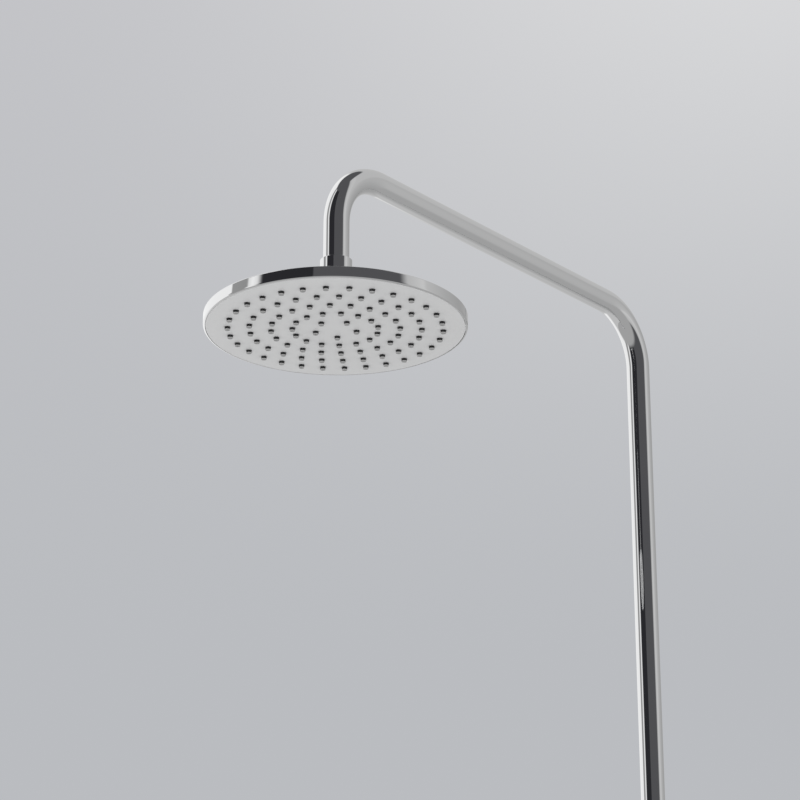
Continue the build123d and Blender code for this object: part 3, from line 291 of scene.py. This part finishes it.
def turned(name, outline, steps=96, rings=True, segments=4):
    """A turned piece on the Z axis. Each (radius, height, round) of the outline is a loop of edges
    pulled from the one before. With rings it closes on its first loop, or else both ends are
    filled."""
    begin()
    radius, height, _ = outline[0]
    bpy.ops.mesh.primitive_circle_add(vertices=steps, radius=radius, location=(0, 0, height))
    piece = bpy.context.object
    piece.name = name
    bpy.ops.object.transform_apply()
    bpy.ops.object.mode_set(mode="EDIT")
    bpy.ops.mesh.select_mode(type="EDGE")
    bpy.ops.mesh.select_all(action="SELECT")
    if not rings:
        bpy.ops.mesh.edge_face_add()
        bpy.ops.mesh.region_to_loop()
    stops = outline + outline[:1] if rings else outline
    for (r0, h0, _), (r1, h1, _) in zip(stops, stops[1:]):
        bpy.ops.mesh.extrude_edges_move(TRANSFORM_OT_translate={"value": (0, 0, h1 - h0)})
        bpy.ops.transform.resize(value=(r1 / r0, r1 / r0, 1), center_override=(0, 0, h1))
    if not rings:
        bpy.ops.mesh.edge_face_add()
    tidy_normals(piece)
    for size in sorted({stop[2] for stop in outline} - {0}):
        places = [stop for stop in outline if stop[2] == size]
        bpy.ops.object.mode_set(mode="EDIT")
        bpy.ops.mesh.select_all(action="DESELECT")
        shape = bmesh.from_edit_mesh(piece.data)
        for edge in shape.edges:
            for r, h, _ in places:
                if all(on_loop(point.co, r, h) for point in edge.verts):
                    edge.select_set(True)
        bmesh.update_edit_mesh(piece.data)
        bpy.ops.mesh.bevel(offset=size, segments=segments, affect="EDGES")
        bpy.ops.object.mode_set(mode="OBJECT")
    smooth(piece)
    return piece


def on_loop(point, radius, height):
    """Whether a point of a turned piece lies on the loop of that radius and height."""
    off_r = abs(math.hypot(point.x, point.y) - radius)
    return off_r < loop_reach and abs(point.z - height) < loop_reach


def put(piece, x, y, z, turn=None):
    """Brings a piece from the origin to its place and leaves the place in its mesh."""
    only(piece)
    piece.matrix_world = Matrix.Translation((x, y, z)) @ (turn or Matrix.Identity(4))
    bpy.ops.object.transform_apply()


nut = turned(
    "swivel_collar",
    [
        (stem_hole_r, nut_foot, 0),
        (nut_r, nut_foot, nut_edge),
        (nut_r, nut_foot + nut_l, nut_edge),
        (nut_bore, nut_foot + nut_l, bore_edge),
        (nut_bore, nut_foot + nut_floor, 0),
        (stem_hole_r, nut_foot + nut_floor, 0),
    ],
)
put(nut, 0, head_y, face_z)
fit(nut, "wall_set", "chromed_brass", "swivel_nut")

# Overhead shower shell: a moulded disc 200 mm across with a slim upright rim, a shallow crown and a
# boss for the ball, plated with chrome on the plastic.
head_r = 0.100
rim_h = 0.0088
rim_wall = 0.0016
rim_foot_round = 0.0015
rim_top_round = 0.0008
crown_h = 0.0126
crown_r = 0.024
boss_r = 0.0145
boss_top = 0.024
boss_bore = 0.0113
boss_edge = 0.0004
seat_z = 0.0065
shell_wall = 0.0016
crown_round = 0.006
crown_step = 0.0035
surface("chromed_abs", {"Metallic": 1.0}, chrome_finish)
shell = turned(
    "overhead_shell",
    [
        (head_r - rim_wall, 0.0, 0),
        (head_r, 0.0, rim_foot_round),
        (head_r, rim_h, rim_top_round),
        (crown_r, crown_h, crown_round),
        (boss_r, crown_h, 0),
        (boss_r, boss_top, boss_edge),
        (boss_bore, boss_top, 0),
        (boss_bore, seat_z, 0),
        (crown_r, crown_h - shell_wall - crown_step, 0),
        (head_r - rim_wall, rim_h - shell_wall, 0),
    ],
    steps=192,
)
put(shell, 0, head_y, face_z)
fit(shell, "overhead", "chromed_abs", "head_shell")

# Cap nut over the ball: a chromed ring screwed on the shell's boss, between the crown and the
# collar. Its lip keeps the seat ring on the ball and leaves the stem its 15 degrees of tilt.
retainer_r = 0.0169
retainer_foot = crown_h + 0.0003
retainer_top = 0.0275
retainer_bore = boss_r + 0.0001
lip_r = 0.0097
lip_foot = 0.0243
lip_flare = 0.0002
cap_edge = 0.0003
cap_round = 0.001
retainer = turned(
    "ball_cap",
    [
        (retainer_bore, retainer_foot, 0),
        (retainer_r, retainer_foot, cap_edge),
        (retainer_r, retainer_top, cap_round),
        (lip_r, retainer_top, cap_edge),
        (lip_r + lip_flare, lip_foot, 0),
        (retainer_bore, lip_foot, 0),
    ],
)
put(retainer, 0, head_y, face_z)
fit(retainer, "overhead", "chromed_brass", "ball_retainer")

# Face plate: a light grey moulded disc, flush in the rim, with a round hole for each of the
# nozzles. Its moulding grain is fine and even, and each hole has a small lead-in edge.
plate_r = 0.0981
plate_t = 0.0020
nozzle_counts = (5, 15, 20, 25, 30)
nozzle_pitch = 0.0163
plate_edge = 0.0003
centre_r = 0.002
hole_r = 0.0023
hole_edge = 0.00010
drill_run = 0.001
grain_relief = 0.00003


def grained(dark, light, roughness, scale, strength=0.2):
    """A finish whose relief and gloss follow a fine grain, and whose tone drifts in slow clouds."""

    def varied(shader):
        grain = shader.noise(scale, 2.0)
        cloud = shader.noise(scale / 200)
        mixed = grain * 0.4 + cloud * 0.6
        return {
            "Base Color": shader.blend(mixed, (*dark, 1.0), (*light, 1.0)),
            "Roughness": grain * 0.10 + roughness,
            "Normal": shader.relief(grain, strength, grain_relief),
        }

    return varied


plate_tones = (0.71, 0.71, 0.705), (0.76, 0.76, 0.755)
surface("grey_plate", {}, grained(*plate_tones, 0.36, 5200.0))


def nozzle_places(counts, pitch):
    """Nozzle centres, ring by ring, with every ring starting on the same spoke."""
    places = []
    for step, count in enumerate(counts, start=1):
        for index in range(count):
            angle = math.radians(-90 + 360 * index / count)
            ring_r = step * pitch
            places.append(Vector((ring_r * math.cos(angle), ring_r * math.sin(angle), 0)))
    return places


def repeated(piece, places):
    """Copies of a piece at several places, each with its own mesh, joined to the first."""
    begin()
    copies = [piece.copy() for _ in places]
    for twin, place in zip(copies, places):
        twin.data = piece.data.copy()
        twin.location = place
        bpy.context.collection.objects.link(twin)
        twin.select_set(True)
    bpy.data.objects.remove(piece)
    bpy.context.view_layer.objects.active = copies[0]
    bpy.ops.object.join()
    bpy.ops.object.transform_apply()
    return copies[0]


def drilled(piece, radius, depth, places, steps=20):
    """Cuts a round hole from each place to a depth along Z."""
    ends = [(radius, -drill_run, 0), (radius, depth + drill_run, 0)]
    drill = turned("drill", ends, steps, rings=False)
    drills = repeated(drill, places)
    modify(piece, "BOOLEAN", operation="DIFFERENCE", object=drills, solver="EXACT")
    bpy.data.objects.remove(drills)


def holed_plate(name, radius, places):
    """A round plate with a hole at each place, and a small round at each hole's mouth."""
    plate = turned(
        name,
        [(centre_r, 0, 0), (radius, 0, plate_edge), (radius, plate_t, 0), (centre_r, plate_t, 0)],
        steps=160,
        rings=False,
    )
    drilled(plate, hole_r, plate_t, places)
    only(plate)
    bpy.ops.object.mode_set(mode="EDIT")
    bpy.ops.mesh.select_mode(type="EDGE")
    bpy.ops.mesh.select_all(action="DESELECT")
    shape = bmesh.from_edit_mesh(plate.data)
    for edge in shape.edges:
        middle = (edge.verts[0].co + edge.verts[1].co) / 2
        near = min((middle - place).length for place in places)
        mouth = abs(middle.z) < merge_distance and near < hole_r * 1.02
        edge.select_set(mouth and len(edge.link_faces) == 2 and edge.calc_face_angle(0) > 1.0)
    bmesh.update_edit_mesh(plate.data)
    bpy.ops.mesh.bevel(offset=hole_edge, segments=2, affect="EDGES")
    bpy.ops.object.mode_set(mode="OBJECT")
    smooth(plate)
    return plate


head_nozzles = nozzle_places(nozzle_counts, nozzle_pitch)
plate = holed_plate("overhead_face", plate_r, head_nozzles)
put(plate, 0, head_y, face_z)
fit(plate, "overhead", "grey_plate", "face_plate")

# Nozzle mat: one sheet of near-black silicone behind the plate, with a soft tapered nozzle through
# each hole that can be rubbed clean with a thumb. Each nozzle's tip has painted light: a pale band
# near its end and a grey end face, for the light that the tips catch from the floor below.
nozzle_r = 0.00226
tip_r = 0.00212
tip_round = 0.0002
nozzle_reach = 0.0024
jet_r = 0.0005
jet_depth = 0.0012
# Where the painted light on each nozzle tip starts and where it is full, counted from the tip's
# end.
painted_band_light_start = 0.0006
painted_band_light_full = 0.0004
painted_tip_light_start = 0.00012
painted_tip_light_full = 0.00004
nozzle_root = 0.0002
mat_t = 0.0010
mat_r = 0.0959


def silicone_finish(face, inward):
    """Dark silicone, with painted light on the part out of the face: a pale band and a grey end."""

    def varied(shader):
        grain = shader.noise(3800.0, 2.0)
        from_face = shader.add(
            "ShaderNodeVectorMath", {"operation": "SUBTRACT"}, {0: shader.place(), 1: face}
        )
        depth = shader.add(
            "ShaderNodeVectorMath", {"operation": "DOT_PRODUCT"}, {0: from_face, 1: inward}, out=1
        )
        # Painted light: the band near each nozzle's tip is pale and its end is grey, for the light
        # that the tips catch from the lit floor below.
        painted_band_light_mask = depth.smooth(painted_band_light_start - nozzle_reach, painted_band_light_full - nozzle_reach)
        painted_tip_light_mask = depth.smooth(painted_tip_light_start - nozzle_reach, painted_tip_light_full - nozzle_reach)
        dark = shader.blend(grain, (0.010, 0.010, 0.011, 1.0), (0.018, 0.018, 0.019, 1.0))
        painted_band_light_colour = shader.blend(grain, (0.62, 0.62, 0.615, 1.0), (0.72, 0.72, 0.715, 1.0))
        painted_tip_light_colour = shader.blend(grain, (0.30, 0.30, 0.295, 1.0), (0.38, 0.38, 0.375, 1.0))
        return {
            "Base Color": shader.blend(painted_tip_light_mask, shader.blend(painted_band_light_mask, dark, painted_band_light_colour), painted_tip_light_colour),
            "Roughness": grain * 0.12 + 0.20 + painted_band_light_mask * 0.2,
            "Normal": shader.relief(grain, 0.2, grain_relief),
        }

    return varied


surface("grey_silicone", {"IOR": 1.45}, silicone_finish((0, head_y, face_z), (0, 0, 1)))


def nozzle_sheet(name, radius, places):
    """The mat: a sheet behind the plate with its nozzles, built around the face plane."""
    nozzle = turned(
        "nozzle",
        [
            (nozzle_r, plate_t + nozzle_root, 0),
            (tip_r, -nozzle_reach, tip_round),
            (jet_r, -nozzle_reach, 0),
            (jet_r, jet_depth - nozzle_reach, 0),
        ],
        steps=14,
        rings=False,
        segments=2,
    )
    nozzles = repeated(nozzle, places)
    back = plate_t + mat_t
    sheet = turned(
        name,
        [(centre_r, plate_t, 0), (radius, plate_t, 0), (radius, back, 0), (centre_r, back, 0)],
        rings=False,
    )
    nozzles.select_set(True)
    bpy.ops.object.join()
    return sheet


mat = nozzle_sheet("overhead_mat", mat_r, head_nozzles)
put(mat, 0, head_y, face_z)
fit(mat, "overhead", "grey_silicone", "nozzle_mat")

# Slide rail: the lower tube, of the same chromed brass as the riser. It stands in the diverter's
# socket and meets the riser over the joint inside the upper bracket.
rail_sides = 96
rail_foot_z, rail_top_z = (corner.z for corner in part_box("lower_rail"))
begin()
bpy.ops.mesh.primitive_circle_add(
    vertices=rail_sides, radius=tube_r, location=(0, rail_y, rail_foot_z)
)
rail = bpy.context.object
rail.name = "slide_rail"
bpy.ops.object.transform_apply()
bpy.ops.object.mode_set(mode="EDIT")
bpy.ops.mesh.select_all(action="SELECT")
bpy.ops.mesh.extrude_edges_move(
    TRANSFORM_OT_translate={"value": (0, 0, rail_top_z - rail_foot_z)}
)
tidy_normals(rail)
modify(rail, "SOLIDIFY", thickness=tube_wall, offset=-1.0)
smooth(rail)
fit(rail, "wall_set", "chromed_brass", "lower_rail")

# Rosettes: two pressed brass caps that slide along the posts and cover the wall bases and their
# screws. The edge to the room is rolled, and the wall is 1.5 mm.
post_r = 0.011
rose_r = 0.024
rose_depth = 0.009
rose_wall = 0.0015
rose_gap = 0.0003
rose_hole_edge = 0.0002
rolled_edge = 0.0011
diverter_z = -0.565
room = Matrix.Rotation(math.radians(90), 4, "X")
for place, wall_z in (("upper", 0.0), ("lower", diverter_z)):
    rosette = turned(
        place + "_rose",
        [
            (post_r + rose_gap, rose_depth, rose_hole_edge),
            (rose_r, rose_depth, rolled_edge),
            (rose_r, 0, 0),
            (rose_r - rose_wall, 0, 0),
            (rose_r - rose_wall, rose_depth - rose_wall, 0),
            (post_r + rose_gap, rose_depth - rose_wall, 0),
        ],
        steps=128,
    )
    put(rosette, 0, 0, wall_z, room)
    fit(rosette, "wall_set", "chromed_brass", place + "_rosette")

# Upper bracket: a brass post cast in one with its ring, ground, polished and chromed. Every edge
# has the small round that the polishing wheel leaves.
copy_merge = 2e-6
flat_angle = math.radians(0.4)
outer_angle = math.radians(42)
cast_edge = 0.0004


def eased(name, node, width, segments=3):
    """A copy of a cast piece's CAD mesh, merged, with its outer edges rounded."""
    begin()
    piece = frame["nodes"][node].copy()
    piece.data = piece.data.copy()
    piece.name = name
    piece.parent = None
    for key in list(piece.keys()):
        del piece[key]
    bpy.context.collection.objects.link(piece)
    tidy_normals(piece, copy_merge)
    bpy.ops.object.mode_set(mode="EDIT")
    bpy.ops.mesh.select_all(action="SELECT")
    bpy.ops.mesh.dissolve_limited(angle_limit=flat_angle)
    bpy.ops.mesh.select_mode(type="EDGE")
    bpy.ops.mesh.select_all(action="DESELECT")
    shape = bmesh.from_edit_mesh(piece.data)
    for edge in shape.edges:
        edge.select_set(edge.calc_face_angle_signed(0) > outer_angle)
    bmesh.update_edit_mesh(piece.data)
    bpy.ops.mesh.bevel(offset=width, segments=segments, affect="EDGES", clamp_overlap=True)
    bpy.ops.object.mode_set(mode="OBJECT")
    smooth(piece)
    return piece


bracket = eased("bracket_and_ring", "bracket_post", cast_edge)
fit(bracket, "wall_set", "chromed_brass", "bracket_post")

# Slider: a moulded and chromed sleeve on the rail, with the lock knob's boss at its side and the
# holder's lug at its front.
slider = eased("slider_sleeve", "slider_body", cast_edge)
fit(slider, "slider", "chromed_abs", "slider_body")

# Lock knob: a moulded, chromed grip with ten finger flutes, pressed on its threaded spindle.
# Half a turn of it frees the slider.
grip_r = 0.013
grip_l = 0.015
grip_start = 0.0243
grip_bore = 0.0051
grip_bore_l = 0.009
flute_r = 0.0022
flute_count = 10
flute_edge = 0.0003
grip_foot_edge = 0.0004
grip_end_round = 0.0014
slider_z = -0.200
grip = turned(
    "lock_grip",
    [
        (grip_bore, grip_bore_l, 0),
        (grip_bore, 0, 0),
        (grip_r, 0, grip_foot_edge),
        (grip_r, grip_l, grip_end_round),
    ],
    rings=False,
)
flute_angles = [math.radians(90 + 360 * index / flute_count) for index in range(flute_count)]
flute_ring_r = grip_r + flute_r / 2
flutes = [
    Vector((flute_ring_r * math.cos(angle), flute_ring_r * math.sin(angle), 0))
    for angle in flute_angles
]
drilled(grip, flute_r, grip_l, flutes, steps=28)
modify(
    grip,
    "BEVEL",
    width=flute_edge,
    segments=2,
    limit_method="ANGLE",
    angle_limit=math.radians(40),
)
smooth(grip)
put(grip, grip_start, rail_y, slider_z, Matrix.Rotation(math.radians(90), 4, "Y"))
fit(grip, "lock", "chromed_abs", "lock_knob")

# Holder: a moulded and chromed cone socket, open at the front for the hose, on two ears that grip
# the slider's lug by friction washers, a pivot screw and its cap nut.
cradle_edge = 0.0005
fastener_edge = 0.0004
cradle = eased("hand_shower_cradle", "holder", cradle_edge)
fit(cradle, "holder_arm", "chromed_abs", "holder")
for name, node in (("pivot_bolt", "pivot_screw"), ("pivot_cap", "pivot_nut")):
    fastener = eased(name, node, fastener_edge)
    fit(fastener, "holder_arm", "chromed_brass", node)

# Hand shower: a moulded, chromed handle and spray head in one shell, with the seating cone near its
# foot, and the waist where the hand closes on it.
hand_edge = 0.0006
hand_shell = eased("hand_shower_shell", "handset_shell", hand_edge)
fit(hand_shell, "hand_shower", "chromed_abs", "handset_shell")

# Hand shower's face and mat: as on the overhead, a grey plate with its holes over a silicone mat,
# three rings of nozzles on one spoke, facing down and out at 45 degrees.
hand_counts = (5, 10, 15)
hand_pitch = 0.013
hand_plate_r = 0.0479
hand_y = -0.23170
hand_z = -0.04213
dip = math.radians(45)
hand_turn = Matrix.Rotation(-dip, 4, "X")
hand_nozzles = nozzle_places(hand_counts, hand_pitch)
hand_face = holed_plate("hand_shower_face", hand_plate_r, hand_nozzles)
put(hand_face, 0, hand_y, hand_z, hand_turn)
fit(hand_face, "hand_shower", "grey_plate", "handset_face")
hand_mat = nozzle_sheet("hand_shower_mat", hand_plate_r, hand_nozzles)
put(hand_mat, 0, hand_y, hand_z, hand_turn)
hand_silicone = surface(
    "hand_silicone",
    {"IOR": 1.45},
    silicone_finish((0, hand_y, hand_z), (0, math.cos(dip), math.sin(dip))),
)
fit(hand_mat, "hand_shower", "grey_silicone", "handset_mat", finish=hand_silicone)

# Threaded ends, G 1/2, of turned brass: the hand shower's foot for its hose, the diverter's inlet
# from the wall below, and the hose outlet at its side. The last two have a hexagon for a spanner.
thread_r = 0.0104775
thread_root_r = 0.0093155
thread_pitch = 0.0018143
thread_l = 0.012
thread_start = 0.0006
thread_flank = (0.05, 0.45, 0.60, 1.00)
thread_end_edge = 0.0003
hex_flats = 0.024
hex_t = 0.005
hex_foot_edge = 0.0005
hex_top_edge = 0.0009
nipple_bore = 0.0046
nipple_tail_r = 0.0059
nipple_tail_l = 0.0087
inlet_bore = 0.005
inlet_plug_r = 0.0067
inlet_plug_l = 0.0097
brass_tones = (0.56, 0.40, 0.18), (0.66, 0.49, 0.24)
surface("brass", {"Metallic": 1.0}, grained(*brass_tones, 0.20, 2600.0))


def threaded(name, bore, tail_r, tail_l, foot):
    """A sleeve on +Z with a tail behind the origin and thread turns from its foot on."""
    outline = [(bore, -tail_l, 0), (tail_r, -tail_l, 0), (tail_r, 0, 0), (thread_root_r, 0, 0)]
    for turn in range(int((thread_l - thread_start) / thread_pitch)):
        low = foot + thread_start + turn * thread_pitch
        for radius, share in zip((thread_root_r, thread_r, thread_r, thread_root_r), thread_flank):
            outline.append((radius, low + share * thread_pitch, 0))
    top = foot + thread_l
    outline += [(thread_root_r, top, thread_end_edge), (bore, top, bore_edge)]
    return turned(name, outline, steps=64)


def spanner_hex(name):
    """A six-sided collar whose corners are eased, with two corners on the X axis."""
    corner_r = hex_flats / 2 / math.cos(math.radians(30))
    collar = turned(
        name,
        [
            (nipple_tail_r, 0, 0),
            (corner_r, 0, hex_foot_edge),
            (corner_r, hex_t, hex_top_edge),
            (nipple_tail_r, hex_t, 0),
        ],
        steps=6,
    )
    put(collar, 0, 0, 0, Matrix.Rotation(math.radians(90), 4, "Z"))
    return collar


lean = math.radians(25)
holder_y = -0.128
handle_foot = 0.026
hand_inlet = threaded("hand_shower_inlet", inlet_bore, inlet_plug_r, inlet_plug_l, 0.0)
put(
    hand_inlet,
    0,
    holder_y + handle_foot * math.sin(lean),
    slider_z - handle_foot * math.cos(lean),
    Matrix.Rotation(lean + math.pi, 4, "X"),
)
fit(hand_inlet, "hand_shower", "brass", "handset_inlet")
diverter_foot = 0.034
outlet_reach = 0.024
nipples = (
    ("supply_nipple", "inlet_nipple", (0, rail_y, diverter_z - diverter_foot), math.pi, "X"),
    ("hose_nipple", "outlet_nipple", (outlet_reach, rail_y, diverter_z), math.pi / 2, "Y"),
)
for name, node, place, angle, axis in nipples:
    collar = spanner_hex("collar")
    nipple = threaded(name, nipple_bore, nipple_tail_r, nipple_tail_l, hex_t)
    collar.select_set(True)
    bpy.ops.object.join()
    put(nipple, *place, Matrix.Rotation(angle, 4, axis))
    fit(nipple, "wall_set", "brass", node)

# Diverter: a cast brass body, ground, polished and chromed, with the socket for the rail, the wall
# post, the front housing for the cartridge and the side outlet in one piece.
casting = eased("diverter_casting", "diverter_body", cast_edge)
fit(casting, "wall_set", "chromed_brass", "diverter_body")

# Diverter knob: a moulded, chromed cup with a bar grip across it, and the small cap that hides its
# screw. A quarter turn sends the water from the overhead to the hose.
dial_edge = 0.0007
dial_cap_edge = 0.0002
dial = eased("diverter_dial", "diverter_knob", dial_edge)
fit(dial, "dial", "chromed_abs", "diverter_knob")
dial_cap = eased("dial_cap", "knob_cap", dial_cap_edge)
fit(dial_cap, "dial", "chromed_abs", "knob_cap")

# Inner and half-hidden pieces keep their CAD shapes: die-cast zinc bases, turned brass, steel
# screws, rubber seals, white acetal bushes and cartridge, ceramic discs. Each takes its own finish.
metal = {"Metallic": 1.0}
inner_finishes = (
    ("zinc", metal, (0.46, 0.47, 0.49), (0.56, 0.57, 0.59), 0.38, 1400.0, 0.3),
    ("steel", metal, (0.50, 0.50, 0.51), (0.60, 0.60, 0.61), 0.24, 2200.0, 0.2),
    ("black_rubber", {}, (0.014, 0.014, 0.015), (0.030, 0.030, 0.031), 0.55, 3000.0, 0.2),
    ("white_plastic", {}, (0.76, 0.76, 0.74), (0.83, 0.83, 0.81), 0.34, 4000.0, 0.2),
    ("ceramic", {}, (0.84, 0.82, 0.77), (0.88, 0.87, 0.83), 0.12, 1800.0, 0.1),
)
for slot, constants, *grain in inner_finishes:
    surface(slot, constants, grained(*grain))
for part in frame["record"]["subparts"]:
    carried = frame["nodes"][part["node"]]
    carried.data.materials.clear()
    carried.data.materials.append(finishes[part["material_slot"]])

# Camera at the photograph's angle: below the head, to its right, looking up at the arm. Its aim and
# lens bring the head, the bends and the riser to their places in the frame.
camera_place = Vector((1.15204, -1.78524, -0.35851))
camera_aim = Vector((-0.0433, -0.3382, 0.3322))
camera_lens = 112.33
sensor_width = 36.0
bpy.ops.object.camera_add(location=camera_place)
camera = bpy.context.object
camera.rotation_euler = (camera_aim - camera_place).to_track_quat("-Z", "Y").to_euler()
camera.data.lens = camera_lens
camera.data.sensor_width = sensor_width
bpy.context.scene.camera = camera

# Floor: a pale disc under the set that fades into the backdrop at its edge. The chrome reflects the
# studio in its place.
floor_r = 2.2
floor_fade = (0.9, 2.1)
floor_gap = 0.002
set_middle = (0, -0.25)
begin()
bpy.ops.mesh.primitive_circle_add(
    vertices=96,
    radius=floor_r,
    fill_type="NGON",
    location=(*set_middle, cad_box[0][2] - floor_gap),
)
floor = bpy.context.object
floor.name = "floor"


def floor_finish(shader):
    """Matt pale paint whose tone drifts a little."""
    tone = shader.blend(shader.noise(3.0), (0.78, 0.785, 0.80, 1.0), (0.80, 0.805, 0.82, 1.0))
    return {"Base Color": tone}


floor_material = surface("floor", {"Roughness": 0.8}, floor_finish)
floor.data.materials.append(floor_material)
floor_shader = Shader(floor_material.node_tree)
reach = floor_shader.add(
    "ShaderNodeVectorMath", {"operation": "LENGTH"}, {0: floor_shader.place()}, out=1
)
glossy = floor_shader.add("ShaderNodeLightPath", out=3)
fade = reach.smooth(*floor_fade)
faded = fade.math("MAXIMUM", fade, glossy)
nodes = floor_material.node_tree.nodes
mixed = floor_shader.add(
    "ShaderNodeMixShader",
    {},
    {
        0: faded,
        1: Value(floor_shader, nodes["Principled BSDF"].outputs[0]),
        2: floor_shader.add("ShaderNodeBsdfTransparent"),
    },
)
floor_shader.link(mixed, nodes["Material Output"].inputs["Surface"])

# Lamp: one large soft box high at the left, behind the camera. It doesn't show in the chrome, which
# has the studio's own panels.
lamp_place = Vector((-1.6, -2.2, 1.9))
lamp_size = 1.8
lamp_energy = 14.0
bpy.ops.object.light_add(type="AREA", location=lamp_place)
lamp = bpy.context.object
lamp.data.shape = "DISK"
lamp.data.size = lamp_size
lamp.data.energy = lamp_energy
lamp.visible_glossy = False
lamp.rotation_euler = (Vector((*set_middle, 0)) - lamp_place).to_track_quat("-Z", "Y").to_euler()

# World: a pale backdrop for the camera, even soft light on the set, and for the chrome a studio of
# bright panels and dark flags all round, with a light ground below.
world = bpy.data.worlds.new("studio")
bpy.context.scene.world = world
world.use_nodes = True
world.node_tree.nodes.clear()
studio = Shader(world.node_tree)
direction = studio.add("ShaderNodeTexCoord", out=0)
x, y, z = (studio.add("ShaderNodeSeparateXYZ", {}, {0: direction}, out=axis) for axis in range(3))
azimuth = x.math("ARCTAN2", y, x) / math.tau + 0.5


def grey(level, tint=0.0):
    """A grey, or one that leans to blue."""
    return (level, level, level * (1 + tint), 1.0)


def bearing(degrees):
    """Where a bearing, counted from +X towards +Y, lies on the azimuth's scale."""
    return (degrees + 180) / 360


white = grey(1.0)
black_flag = grey(0.026, 0.15)
dark_flag = grey(0.095, 0.06)
even_light = grey(0.82)
ceiling = grey(0.56)
ceiling_z = (0.42, 0.58)
overhead_z = (0.90, 0.93)
ground_z = (-0.30, -0.52)
backdrop_z = (0.24, 0.63)
low_backdrop = (0.492, 0.504, 0.528, 1.0)
panels = studio.add(
    "ShaderNodeValToRGB",
    {
        "stops": [
            (bearing(-180), white),
            (bearing(-150.5), white),
            (bearing(-150), grey(0.34)),
            (bearing(-132), grey(0.32)),
            (bearing(-131), grey(0.10)),
            (bearing(-130.5), grey(0.80)),
            (bearing(-125), white),
            (bearing(-120), grey(0.85)),
            (bearing(-115), black_flag),
            (bearing(-68.5), black_flag),
            (bearing(-68), dark_flag),
            (bearing(8), dark_flag),
            (bearing(15), grey(0.55)),
            (bearing(32), grey(0.66)),
            (bearing(36), grey(0.56)),
            (bearing(60), grey(0.46)),
            (bearing(85), grey(0.39)),
            (bearing(108), grey(0.42)),
            (bearing(129), grey(0.54)),
            (bearing(134.5), grey(0.60)),
            (bearing(137), white),
        ]
    },
    {0: azimuth},
)
far_side = azimuth.smooth(bearing(20), bearing(40)) * azimuth.smooth(bearing(150), bearing(136))
with_ceiling = studio.blend(far_side * z.smooth(*ceiling_z), panels, ceiling)
with_overhead = studio.blend(z.smooth(*overhead_z), with_ceiling, dark_flag)
ground = studio.blend(azimuth.smooth(bearing(95), bearing(130)), grey(0.42), grey(0.60))
around = studio.blend(z.smooth(*ground_z), with_overhead, ground)
high = studio.blend(azimuth.smooth(bearing(141), bearing(119)), grey(0.57, 0.04), grey(0.76, 0.01))
backdrop = studio.blend(z.smooth(*backdrop_z), low_backdrop, high)
from_camera, from_gloss = (studio.add("ShaderNodeLightPath", out=index) for index in (0, 3))
soft = studio.blend(from_gloss, even_light, around)
seen = studio.blend(from_camera, soft, backdrop)
sky = studio.add("ShaderNodeBackground", {}, {"Color": seen, "Strength": 1.0})
studio.add("ShaderNodeOutputWorld", {}, {"Surface": sky})

bpy.context.scene.view_settings.view_transform = "Standard"
